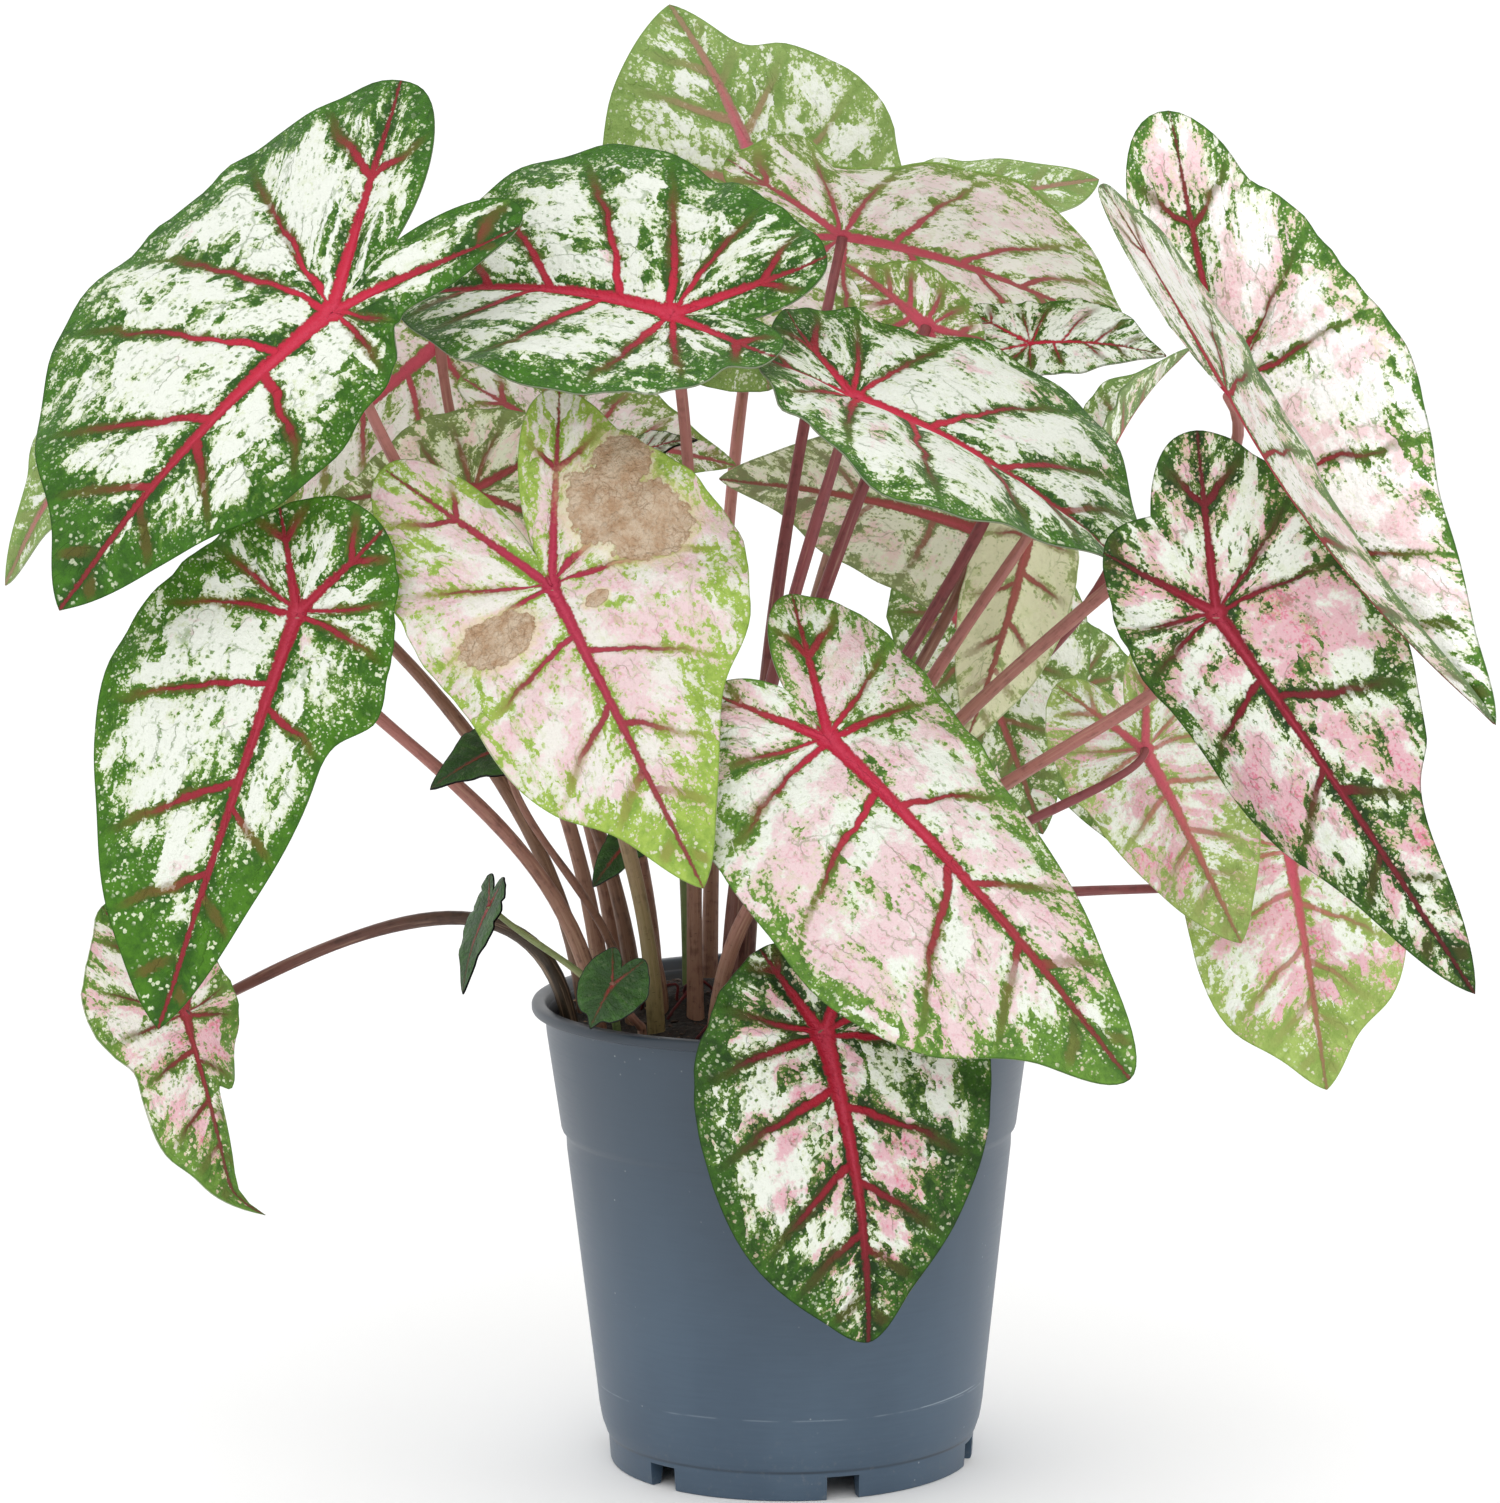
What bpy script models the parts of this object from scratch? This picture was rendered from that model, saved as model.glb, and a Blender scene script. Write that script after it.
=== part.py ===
"""A caladium in its nursery pot: pot, soil, and a stalk and a blade for every leaf.

Lengths in the tables are millimetres, turned into metres when a mesh is made.
The origin is the middle of the pot's foot, +Z is up and the camera side is -Y.
"""
import math
from dataclasses import dataclass

import bmesh
import bpy
import numpy as np

MM = 0.001

# Driving dimensions of the pot
RIM_RADIUS = 70.0
POT_HEIGHT = 128.6
WALL = 1.2
FOOT_RADIUS = 50.0
FOOT_HEIGHT = 7.8
SHOULDER_HEIGHT = 92.5
RIM_FLANGE = 3.0
FLOOR_HEIGHT = 8.4
PAD_RADIUS = 14.0
NOTCHES = 6
NOTCH_WIDTH = 9.0
NOTCH_HEIGHT = 6.5
NOTCH_TURN = 16.0
DRAIN_RADIUS = 4.0
DRAIN_CIRCLE = 34.0
POT_SIDES = 36

# Driving dimensions of the soil and the clearances
SOIL_HEIGHT = 123.6
SOIL_RELIEF = 0.9
GAP = 0.3
STALK_DEPTH = 10.0

# Driving dimensions of the leaves
BLADE_THICKNESS = 0.8
CREASE = 2.5
STALK_GIRTH = (3.0, 1.6)
STALK_SIDES = 6
OUTLINE_ANGLES = (0.0, 10.0, 25.0, 55.0, 90.0, 130.0, 160.0, 180.0)
LARGE_LEAF = 84.0
SMALL_LEAF = 42.0

# How finely a blade is divided: directions on one side of the midrib, and rings out to the edge
FINE = ((0, 6, 14, 25, 40, 58, 78, 98, 118, 135, 150, 162, 171, 180), (0.36, 0.70, 1.0))
MEDIUM = ((0, 9, 25, 45, 70, 98, 125, 145, 160, 171, 180), (0.36, 0.70, 1.0))
COARSE = ((0, 15, 45, 90, 130, 158, 172, 180), (0.5, 1.0))


@dataclass(frozen=True)
class Leaf:
    """One leaf. joint is where the stalk meets the blade, face the way its upper side looks.

    face is an azimuth from the front towards +X and an elevation. left and right are the
    outline's radii about the joint at OUTLINE_ANGLES, without the tip and the notch.
    fold lifts the halves at the midrib, curl turns them down, in degrees, lobe_fold is the
    fold behind the joint. arch, sway and skew are parts of the blade's length.
    """

    name: str
    joint: tuple
    tip: tuple
    face: tuple
    left: tuple
    right: tuple
    notch: float
    foot: tuple
    fold: tuple = (8, 8)
    curl: tuple = (20, 20)
    lobe_fold: tuple = None
    arch: float = 0.06
    sway: float = 0.0
    hook: float = 0.0
    wave: tuple = (0.0, 5, 0)
    girth: tuple = STALK_GIRTH
    come: tuple = None
    reach: tuple = (0.45, 0.30)

    @property
    def length(self):
        return float(np.linalg.norm(np.subtract(self.tip, self.joint)))


LEAVES = (
    Leaf("left_high", (-115, -75, 321), (-182, -112, 249), (-20, 38),
         (88, 72, 52, 38, 42, 56), (91, 83, 72, 63, 66, 68), 25, (-49, -6),
         fold=(-38, 8), curl=(25, 25), lobe_fold=(0, 8)),
    Leaf("centre_high", (-29, -52, 318), (-104, -25, 321), (5, 47),
         (73, 64, 54, 42, 38, 38), (72, 68, 60, 46, 42, 41), 23, (-25, -12),
         fold=(18, 18), curl=(10, 25), sway=-0.03),
    Leaf("right_middle", (19, -49, 296), (93, -64, 249), (10, 72),
         (83, 76, 64, 43, 36, 32), (80, 68, 62, 40, 34, 28), 26, (-17, -18),
         fold=(8, 18), curl=(10, 30)),
    Leaf("right_high", (113, -82, 298), (177, -121, 218), (-35, 12),
         (90, 69, 55, 45, 54, 72), (80, 60, 46, 38, 54, 60), 24, (-2, -24),
         fold=(0, 126), curl=(15, 5), sway=-0.028),
    Leaf("right_low", (110, -89, 243), (174, -111, 148), (-10, 25),
         (77, 61, 46, 37, 41, 46), (84, 64, 36, 27, 28, 34), 30, (6, -30),
         fold=(10, -30), curl=(20, 35), lobe_fold=(10, -10)),
    Leaf("left_low", (-125, -80, 244), (-160, -108, 141), (-5, 25),
         (76, 45, 35, 26, 28, 32), (96, 75, 52, 35, 28, 29), 32, (-50, -20),
         fold=(-8, 10), curl=(30, 25), sway=0.01),
    Leaf("centre_lime", (-60, -74, 250), (-21, -108, 176), (-8, 28),
         (74, 57, 53, 49, 45, 49), (72, 62, 42, 39, 47, 50), 10, (-35, -24),
         fold=(6, 6), curl=(22, 20), wave=(2.5, 7, 40)),
    Leaf("centre_pink", (11, -92, 212), (85, -140, 133), (0, 38),
         (90, 60, 39, 36, 42, 42), (102, 90, 58, 41, 32, 31), 18, (-20, -36),
         fold=(-10, 0), curl=(15, 35)),
    Leaf("pot_front", (9, -92, 135), (20, -104, 57), (0, 4),
         (68, 57, 45, 40, 36, 34), (73, 64, 46, 33, 28, 27), 22, (-8, -44),
         fold=(10, 10), sway=0.04, come=(0.2, -0.95, -0.12), reach=(0.55, 0.35)),
    Leaf("left_trailing", (-160, -45, 133), (-146, -60, 80), (20, 15),
         (26, 24, 19, 16, 17, 22), (50, 45, 33, 35, 33, 34), 18, (-57, -8),
         fold=(-40, 20), curl=(0, 0), lobe_fold=(-8, 20), hook=4, come=(-0.2, -0.97, 0.05), reach=(0.62, 0.60)),
    Leaf("back_top", (-2, 84, 331), (-31, 88, 397), (15, 5),
         (69, 64, 53, 48, 46, 40), (57, 54, 48, 42, 38, 36), 20, (-22, 20),
         fold=(6, 6), curl=(15, 15), sway=-0.04, wave=(3, 5, 0)),
    Leaf("back_underside", (17, 36, 334), (92, 30, 307), (170, 50),
         (74, 68, 58, 50, 50, 46), (80, 76, 56, 42, 40, 38), 20, (-12, 12),
         fold=(0, 0), wave=(4, 5, 0)),
    Leaf("back_right", (30, 124, 330), (93, 136, 344), (10, 60),
         (54, 42, 30, 28, 28, 28), (58, 46, 38, 36, 38, 38), 20, (-12, 30),
         fold=(10, 10)),
    Leaf("inner_salmon", (39, 0, 311), (17, 4, 328), (-150, 40),
         (22, 20, 18, 16, 16, 16), (22, 20, 18, 16, 16, 16), 8, (-15, -2),
         fold=(0, 0)),
    Leaf("inner_right", (67, 4, 306), (103, -4, 303), (10, 50),
         (31, 27, 20, 16, 18, 22), (30, 24, 17, 15, 16, 18), 12, (-5, -10),
         fold=(10, 10)),
    Leaf("right_edgewise", (90, 40, 272), (115, 60, 301), (-60, -10),
         (32, 26, 18, 14, 14, 12), (32, 26, 18, 14, 14, 12), 6, (4, 16),
         fold=(50, 50), curl=(0, 0)),
    Leaf("shade_underside", (54, 28, 253), (-18, 48, 266), (180, 30),
         (62, 50, 30, 22, 18, 20), (60, 48, 34, 26, 24, 24), 12, (-3, 4),
         fold=(0, 0)),
    Leaf("rolled_pale", (67, 8, 254), (49, -2, 198), (160, -10),
         (48, 34, 20, 14, 14, 14), (48, 34, 20, 14, 14, 14), 8, (4, 2),
         fold=(30, 30), curl=(60, 60)),
    Leaf("right_inner", (48, 60, 227), (73, 68, 162), (0, 30),
         (58, 48, 40, 34, 32, 30), (56, 40, 26, 20, 20, 20), 12, (-4, 24)),
    Leaf("right_back", (82, 90, 200), (108, 96, 147), (0, 30),
         (46, 34, 24, 20, 20, 20), (48, 36, 26, 22, 20, 20), 10, (8, 28)),
    Leaf("right_underside", (98, 5, 195), (124, 0, 142), (165, -15),
         (50, 38, 26, 24, 28, 28), (50, 40, 30, 26, 28, 28), 12, (8, -6)),
    Leaf("right_bottom", (139, 25, 164), (148, 5, 100), (0, 20),
         (56, 50, 36, 29, 28, 28), (60, 54, 38, 30, 30, 30), 14, (14, 4),
         fold=(5, 5)),
    Leaf("far_left", (-179, 15, 291), (-216, 30, 240), (-30, 30),
         (44, 34, 30, 28, 30, 30), (44, 34, 28, 26, 28, 28), 12, (-54, 6)),
    Leaf("left_back", (-94, 25, 306), (-142, 12, 260), (160, 40),
         (56, 46, 36, 30, 32, 32), (56, 46, 36, 30, 32, 32), 12, (-46, 18),
         come=(-0.1, 0.2, 0.97)),
    Leaf("left_inner", (-84, -6, 268), (-124, -4, 265), (0, 35),
         (32, 28, 26, 26, 28, 28), (32, 28, 26, 26, 28, 28), 12, (-41, 2)),
    Leaf("centre_back", (-61, 30, 279), (-13, 34, 271), (170, 30),
         (38, 32, 28, 26, 30, 32), (38, 32, 28, 26, 30, 32), 12, (-36, 14)),
)

# Young leaves, too small to part blade from stalk: each is one piece
YOUNG_LEAVES = (
    Leaf("folded", (-41, -5, 277), (-23, -10, 282), (0, 60),
         (14, 12, 10, 9, 8, 8), (14, 12, 10, 9, 8, 8), 4, (-27, 4), girth=(1.8, 1.0)),
    Leaf("green", (-74, -50, 205), (-93, -60, 195), (-10, 45),
         (18, 14, 11, 9, 9, 9), (18, 14, 11, 9, 9, 9), 4, (-42, -14), girth=(1.8, 1.0)),
    Leaf("sideways", (-79, -42, 161), (-86, -46, 138), (-60, 20),
         (18, 14, 9, 7, 8, 9), (18, 14, 9, 7, 8, 9), 4, (-44, -33), girth=(1.4, 0.9)),
    Leaf("round", (-46, -55, 142), (-52, -60, 131), (-10, 40),
         (11, 11, 10, 10, 10, 10), (11, 11, 10, 10, 10, 10), 5, (-38, -41),
         fold=(0, 0), girth=(1.6, 1.0)),
    Leaf("dark", (-43, -20, 174), (-52, -25, 163), (-10, 30),
         (12, 9, 6, 6, 6, 6), (12, 9, 6, 6, 6, 6), 3, (-33, -8), girth=(1.6, 1.0)),
)

# Finishes: colour, roughness, metallic
POT_FINISH = ((0.10, 0.14, 0.18), 0.42, 0.0)
SOIL_FINISH = ((0.035, 0.022, 0.015), 0.95, 0.0)
BLADE_FINISH = ((0.62, 0.66, 0.50), 0.45, 0.0)
STALK_FINISH = ((0.33, 0.17, 0.14), 0.5, 0.0)
YOUNG_FINISH = ((0.06, 0.15, 0.05), 0.4, 0.0)


def unit(vector):
    """The vector at length one."""
    vector = np.asarray(vector, float)
    return vector / np.linalg.norm(vector)


def facing(azimuth, elevation):
    """The direction at an azimuth from the front towards +X and an elevation, in degrees."""
    a, e = math.radians(azimuth), math.radians(elevation)
    return np.array([math.sin(a) * math.cos(e), -math.cos(a) * math.cos(e), math.sin(e)])


def leaf_axes(leaf):
    """The directions along the midrib, across to the left half, and out of the upper side."""
    along = unit(np.subtract(leaf.tip, leaf.joint))
    face = facing(*leaf.face)
    normal = unit(face - (face @ along) * along)
    return along, np.cross(normal, along), normal


def smooth_curve(knots, values, x):
    """A cubic curve through the values at the knots, with straight ends."""
    knots, values = np.asarray(knots, float), np.asarray(values, float)
    slope = np.gradient(values, knots)
    slope[0] = (values[1] - values[0]) / (knots[1] - knots[0])
    slope[-1] = (values[-1] - values[-2]) / (knots[-1] - knots[-2])
    i = np.clip(np.searchsorted(knots, x, side="right") - 1, 0, len(knots) - 2)
    step = knots[i + 1] - knots[i]
    t = (x - knots[i]) / step
    start = (1 + 2 * t) * (1 - t) ** 2 * values[i] + t * (1 - t) ** 2 * step * slope[i]
    end = t * t * (3 - 2 * t) * values[i + 1] + t * t * (t - 1) * step * slope[i + 1]
    return start + end


def outline(leaf, angle):
    """The outline's radius about the joint at an angle from the midrib, positive to the left."""
    angle = np.asarray(angle, float)
    sides = []
    for radii in (leaf.left, leaf.right):
        values = (leaf.length,) + tuple(radii) + (leaf.notch,)
        sides.append(smooth_curve(OUTLINE_ANGLES, values, np.abs(angle)))
    return np.where(angle >= 0, sides[0], sides[1])


def cross_section(leaf, u, v):
    """Bends the distance v across the midrib into a distance out and a height."""
    left = v >= 0
    distance = np.abs(v)
    lobe_fold = leaf.lobe_fold or leaf.fold
    ease = np.clip((u / leaf.length + 0.10) / 0.35, 0, 1)
    ease = ease * ease * (3 - 2 * ease)
    fold = [lobe_fold[i] + (leaf.fold[i] - lobe_fold[i]) * ease for i in (0, 1)]
    fold = np.radians(np.where(left, fold[0], fold[1]))
    width = np.where(left, max(leaf.left[2:5]), max(leaf.right[2:5]))
    bend = -np.radians(np.where(left, leaf.curl[0], leaf.curl[1])) / width
    bend = np.where(np.abs(bend) < 1e-6, 1e-6, bend)
    out = (np.sin(fold + bend * distance) - np.sin(fold)) / bend
    height = (np.cos(fold) - np.cos(fold + bend * distance)) / bend
    height = height * distance / (distance + CREASE)
    return np.where(left, out, -out), height


def blade_point(leaf, u, v):
    """The point of the blade's middle surface that lies u along and v across when flat."""
    length = leaf.length
    along, across, normal = leaf_axes(leaf)
    forward = u / length
    y, z = cross_section(leaf, u, v)
    ahead = np.clip(forward, 0, 1.2)
    z = z + leaf.arch * 4 * ahead * (1 - ahead) * length
    y = y + leaf.sway * 4 * ahead * (1 - ahead) * length
    y = y + leaf.hook * (np.clip(forward - 0.8, 0, 1) / 0.2) ** 2
    angle = np.degrees(np.arctan2(v, u))
    share = np.hypot(u, v) / np.maximum(outline(leaf, angle), 1e-6)
    size, count, phase = leaf.wave
    z = z + size * np.clip(share, 0, 1.3) ** 3 * np.sin(np.radians(count * angle + phase))
    return np.asarray(leaf.joint, float) + u[:, None] * along + y[:, None] * across + z[:, None] * normal


def blade_mesh(leaf, grid):
    """The vertices and triangles of a blade: a fan and rings about the joint, on both faces."""
    side, rings = grid
    angles = np.array(list(side) + [-a for a in side[-2:0:-1]], float)
    radii = np.outer(rings, outline(leaf, angles)).ravel()
    turns = np.tile(np.radians(angles), len(rings))
    u = np.append(0.0, radii * np.cos(turns))
    v = np.append(0.0, radii * np.sin(turns))
    step = 0.4
    slope_u = blade_point(leaf, u + step, v) - blade_point(leaf, u - step, v)
    slope_v = blade_point(leaf, u, v + step) - blade_point(leaf, u, v - step)
    normal = np.cross(slope_u, slope_v)
    normal /= np.linalg.norm(normal, axis=1)[:, None]
    middle = blade_point(leaf, u, v)
    points = np.vstack([middle + normal * BLADE_THICKNESS / 2, middle - normal * BLADE_THICKNESS / 2])
    count, below = len(angles), len(u)
    top, edge = [], []
    for j in range(count):
        k = (j + 1) % count
        top.append((0, 1 + j, 1 + k))
        for ring in range(len(rings) - 1):
            a, b = 1 + ring * count + j, 1 + ring * count + k
            top += [(a, a + count, b + count), (a, b + count, b)]
        a, b = below - count + j, below - count + k
        edge += [(a, a + below, b + below), (a, b + below, b)]
    bottom = [(a + below, c + below, b + below) for a, b, c in top]
    return points, top + bottom + edge


def stalk_path(leaf, sunk, points):
    """Points along a stalk, from under the soil to the blade's lower side, and its end direction.

    sunk is True where the stalk's end is buried in the blade instead of stopping below it.
    """
    along, across, normal = leaf_axes(leaf)
    come = unit(leaf.come) if leaf.come else unit(normal + np.array([0, 0, 0.6]))
    tilt = max(float(come @ normal), 0.3)
    skirt = leaf.girth[1] * math.sqrt(max(0.0, 1 - float(come @ normal) ** 2)) / tilt
    end = np.asarray(leaf.joint, float)
    if not sunk:
        end = end - normal * (BLADE_THICKNESS / 2 + 1.5 * GAP) - come * skirt
    start = np.array([leaf.foot[0], leaf.foot[1], SOIL_HEIGHT + 0.4 - STALK_DEPTH])
    span = float(np.linalg.norm(end - start))
    rise = unit([(end[0] - start[0]) / span * 0.25, (end[1] - start[1]) / span * 0.25, 1])
    clear = start + rise * (STALK_DEPTH + 4)
    handles = [clear, start + rise * span * leaf.reach[0], end - come * span * leaf.reach[1], end]
    t = np.linspace(0, 1, points - 1)[:, None]
    weights = [(1 - t) ** 3, 3 * t * (1 - t) ** 2, 3 * t * t * (1 - t), t ** 3]
    return np.vstack([start, sum(w * h for w, h in zip(weights, handles))])


def tube_mesh(path, radii, sides):
    """The vertices and triangles of a closed tube along a path."""
    tangents = np.gradient(path, axis=0)
    tangents /= np.linalg.norm(tangents, axis=1)[:, None]
    side = unit(np.cross([0, -1, 0], tangents[0]))
    points, faces = [], []
    for place, tangent, radius in zip(path, tangents, radii):
        side = unit(side - (side @ tangent) * tangent)
        other = np.cross(tangent, side)
        for j in range(sides):
            turn = 2 * math.pi * j / sides
            points.append(place + radius * (math.cos(turn) * side + math.sin(turn) * other))
    low, high = len(points), len(points) + 1
    last = low - sides
    points += [path[0], path[-1]]
    for j in range(sides):
        k = (j + 1) % sides
        for ring in range(0, last, sides):
            a, b = ring + j, ring + k
            faces += [(a, b, b + sides), (a, b + sides, a + sides)]
        faces += [(low, k, j), (high, last + j, last + k)]
    return np.array(points), faces


def add_object(name, points, faces, finish=None):
    """Makes a mesh object from points in millimetres."""
    mesh = bpy.data.meshes.new(name)
    bm = bmesh.new()
    verts = [bm.verts.new(tuple(float(c) * MM for c in point)) for point in points]
    for face in faces:
        bm.faces.new([verts[i] for i in face])
    bm.to_mesh(mesh)
    bm.free()
    obj = bpy.data.objects.new(name, mesh)
    bpy.context.scene.collection.objects.link(obj)
    if finish:
        mesh.materials.append(make_material(name, finish))
        mesh.shade_smooth()
    return obj


def make_material(name, finish):
    """A Principled material in the piece's own colour."""
    colour, roughness, metallic = finish
    material = bpy.data.materials.new(name)
    material.use_nodes = True
    shader = material.node_tree.nodes["Principled BSDF"]
    shader.inputs["Base Color"].default_value = (*colour, 1.0)
    shader.inputs["Roughness"].default_value = roughness
    shader.inputs["Metallic"].default_value = metallic
    return material


def turned(name, profile, sides, finish=None):
    """Turns a profile of (radius, height) points, going up its outer side first, about Z."""
    angles = np.linspace(0, 2 * math.pi, sides, endpoint=False)
    points, rows, faces = [], [], []
    for radius, height in profile:
        if radius == 0:
            rows.append([len(points)] * sides)
            points.append((0.0, 0.0, height))
            continue
        rows.append(list(range(len(points), len(points) + sides)))
        points += [(radius * math.cos(a), radius * math.sin(a), height) for a in angles]
    for low, high in zip(rows, rows[1:]):
        for j in range(sides):
            k = (j + 1) % sides
            corners = [low[j], low[k], high[k], high[j]]
            face = list(dict.fromkeys(corners))
            if len(face) > 2:
                faces.append(face)
    return add_object(name, points, faces, finish)


def cut(obj, cutter):
    """Cuts one object out of another, and hides the cutter."""
    cutter.hide_render = True
    cutter.display_type = "WIRE"
    boolean = obj.modifiers.new("cut_" + cutter.name, "BOOLEAN")
    boolean.operation = "DIFFERENCE"
    boolean.object = cutter


def pot_profile():
    """The pot's section, from the middle of its underside round to the middle of its floor."""
    flange = POT_HEIGHT - RIM_FLANGE
    under_rim = RIM_RADIUS - 3.5
    return [
        (0, 0), (PAD_RADIUS, 0), (PAD_RADIUS + 0.8, 0.8), (PAD_RADIUS + 1.2, FLOOR_HEIGHT - WALL),
        (FOOT_RADIUS - 5.0, FLOOR_HEIGHT - WALL), (FOOT_RADIUS - 3.6, 0.8), (FOOT_RADIUS - 3.2, 0),
        (FOOT_RADIUS - 0.6, 0), (FOOT_RADIUS, 0.8), (FOOT_RADIUS + 0.4, FOOT_HEIGHT),
        (FOOT_RADIUS + 1.4, FOOT_HEIGHT + 1.8), (FOOT_RADIUS + 2.4, FOOT_HEIGHT + 5.4),
        (FOOT_RADIUS + 3.4, FOOT_HEIGHT + 13), (RIM_RADIUS - 8.6, SHOULDER_HEIGHT - 2),
        (RIM_RADIUS - 7.6, SHOULDER_HEIGHT + 2), (under_rim, flange), (RIM_RADIUS - 0.7, flange),
        (RIM_RADIUS, flange + 0.8), (RIM_RADIUS, POT_HEIGHT - 0.8), (RIM_RADIUS - 0.7, POT_HEIGHT),
        (RIM_RADIUS - 3.0, POT_HEIGHT), (RIM_RADIUS - 3.8, POT_HEIGHT - 0.8),
    ] + inner_profile() + [(0, 2 * WALL)]


def inner_profile():
    """The inside of the pot from under the rim down to its floor and its sunk middle."""
    return [
        (RIM_RADIUS - 4.8, POT_HEIGHT - 4.5), (RIM_RADIUS - 8.8, SHOULDER_HEIGHT + 2.4),
        (RIM_RADIUS - 9.8, SHOULDER_HEIGHT - 1.6), (FOOT_RADIUS + 2.2, FOOT_HEIGHT + 13.2),
        (FOOT_RADIUS + 1.1, FOOT_HEIGHT + 5.8), (FOOT_RADIUS - 0.6, FOOT_HEIGHT + 2.2),
        (FOOT_RADIUS - 1.8, FLOOR_HEIGHT), (PAD_RADIUS - 0.2, FLOOR_HEIGHT), (PAD_RADIUS - 1.4, 2 * WALL),
    ]


def make_pot():
    """The pot, with drainage notches in its foot and holes in its floor."""
    pot = turned("pot", pot_profile(), POT_SIDES, POT_FINISH)
    notches, faces = [], []
    for i in range(NOTCHES):
        turn = math.radians(NOTCH_TURN + i * 360 / NOTCHES - 90)
        out = np.array([math.cos(turn), math.sin(turn), 0])
        aside = np.array([-math.sin(turn), math.cos(turn), 0])
        box = []
        for radius in (FOOT_RADIUS - 8, FOOT_RADIUS + 4):
            for offset in (-NOTCH_WIDTH / 2, NOTCH_WIDTH / 2):
                for height in (-2.0, NOTCH_HEIGHT):
                    box.append(out * radius + aside * offset + np.array([0, 0, height]))
        first = len(notches)
        notches += box
        quads = ((0, 1, 3, 2), (4, 6, 7, 5), (0, 4, 5, 1), (2, 3, 7, 6), (0, 2, 6, 4), (1, 5, 7, 3))
        faces += [[first + i for i in quad] for quad in quads]
    cut(pot, add_object("notch_cutter", notches, faces))
    drains, faces = [], []
    for i in range(NOTCHES):
        turn = math.radians(NOTCH_TURN + (i + 0.5) * 360 / NOTCHES - 90)
        centre = np.array([math.cos(turn), math.sin(turn), 0]) * DRAIN_CIRCLE
        path = centre + np.array([[0, 0, FLOOR_HEIGHT - 4], [0, 0, FLOOR_HEIGHT + 1.5]])
        points, tube = tube_mesh(path, (DRAIN_RADIUS, DRAIN_RADIUS), 8)
        faces += [[len(drains) + i for i in face] for face in tube]
        drains += list(points)
    cut(pot, add_object("drain_cutter", drains, faces))


def soil_relief(x, y):
    """The height of the soil's small lumps at a place."""
    lumps = math.sin(x * 0.31 + 1.0) * math.cos(y * 0.27) + 0.6 * math.sin(x * 0.13 - y * 0.55)
    return SOIL_RELIEF * lumps


def make_soil():
    """The soil that fills the pot, with a hole where each stalk stands."""
    inside = inner_profile()
    (high_r, high_z), (low_r, low_z) = inside[:2]
    brim = SOIL_HEIGHT - 1.6
    brim_radius = low_r + (high_r - low_r) * (brim - low_z) / (high_z - low_z) - 1.3 * GAP
    wall = [(r - 1.3 * GAP, z + GAP) for r, z in inside[1:]]
    profile = [(0, 2 * WALL + GAP)] + wall[::-1] + [(brim_radius, brim)]
    profile += [(brim_radius * share, SOIL_HEIGHT) for share in (0.97, 0.8, 0.6, 0.4, 0.2)]
    profile += [(0, SOIL_HEIGHT)]
    soil = turned("soil", profile, POT_SIDES, SOIL_FINISH)
    for vertex in soil.data.vertices:
        if vertex.co.z > (SOIL_HEIGHT - 0.5) * MM:
            vertex.co.z += soil_relief(vertex.co.x / MM, vertex.co.y / MM) * MM
    holes, faces = [], []
    for leaf, sunk in [(leaf, False) for leaf in LEAVES] + [(leaf, True) for leaf in YOUNG_LEAVES]:
        path = stalk_path(leaf, sunk, 10)
        rise = unit(path[1] - path[0])
        path = np.array([path[0] - rise * 1.2 * GAP, path[0] + rise * (STALK_DEPTH + 5)])
        points, tube = tube_mesh(path, [leaf.girth[0] + 1.4 * GAP] * 2, STALK_SIDES)
        faces += [[len(holes) + i for i in face] for face in tube]
        holes += list(points)
    cut(soil, add_object("hole_cutter", holes, faces))


def make_leaf(leaf):
    """A blade and its stalk, as two pieces."""
    grid = FINE if leaf.length > LARGE_LEAF else MEDIUM if leaf.length > SMALL_LEAF else COARSE
    add_object("blade_" + leaf.name, *blade_mesh(leaf, grid), BLADE_FINISH)
    path = stalk_path(leaf, False, 10)
    radii = np.linspace(*leaf.girth, len(path))
    add_object("stalk_" + leaf.name, *tube_mesh(path, radii, STALK_SIDES), STALK_FINISH)


def make_young_leaf(leaf):
    """A young leaf, its stalk joined into its blade by a union."""
    young = add_object("young_" + leaf.name, *blade_mesh(leaf, COARSE), YOUNG_FINISH)
    path = stalk_path(leaf, True, 8)
    radii = np.linspace(*leaf.girth, len(path))
    stalk = add_object("young_stalk_" + leaf.name, *tube_mesh(path, radii, STALK_SIDES))
    stalk.hide_render = True
    stalk.display_type = "WIRE"
    union = young.modifiers.new("stalk", "BOOLEAN")
    union.operation = "UNION"
    union.object = stalk


def main():
    """Clears the scene and builds the plant."""
    for obj in list(bpy.data.objects):
        bpy.data.objects.remove(obj)
    make_pot()
    make_soil()
    for leaf in LEAVES:
        make_leaf(leaf)
    for leaf in YOUNG_LEAVES:
        make_young_leaf(leaf)


main()
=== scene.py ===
"""Looks of a potted caladium: painted leaves and stalks, a plastic pot and its soil.

The tables are in millimetres and degrees, as in the part's source, and meshes are in metres.
"""

import logging
import math
import random
from dataclasses import dataclass, replace
from enum import Enum
from typing import Any, Optional, Sequence, Union

import bmesh
import bpy
import numpy as np
from mathutils import Matrix, Vector, noise


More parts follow.
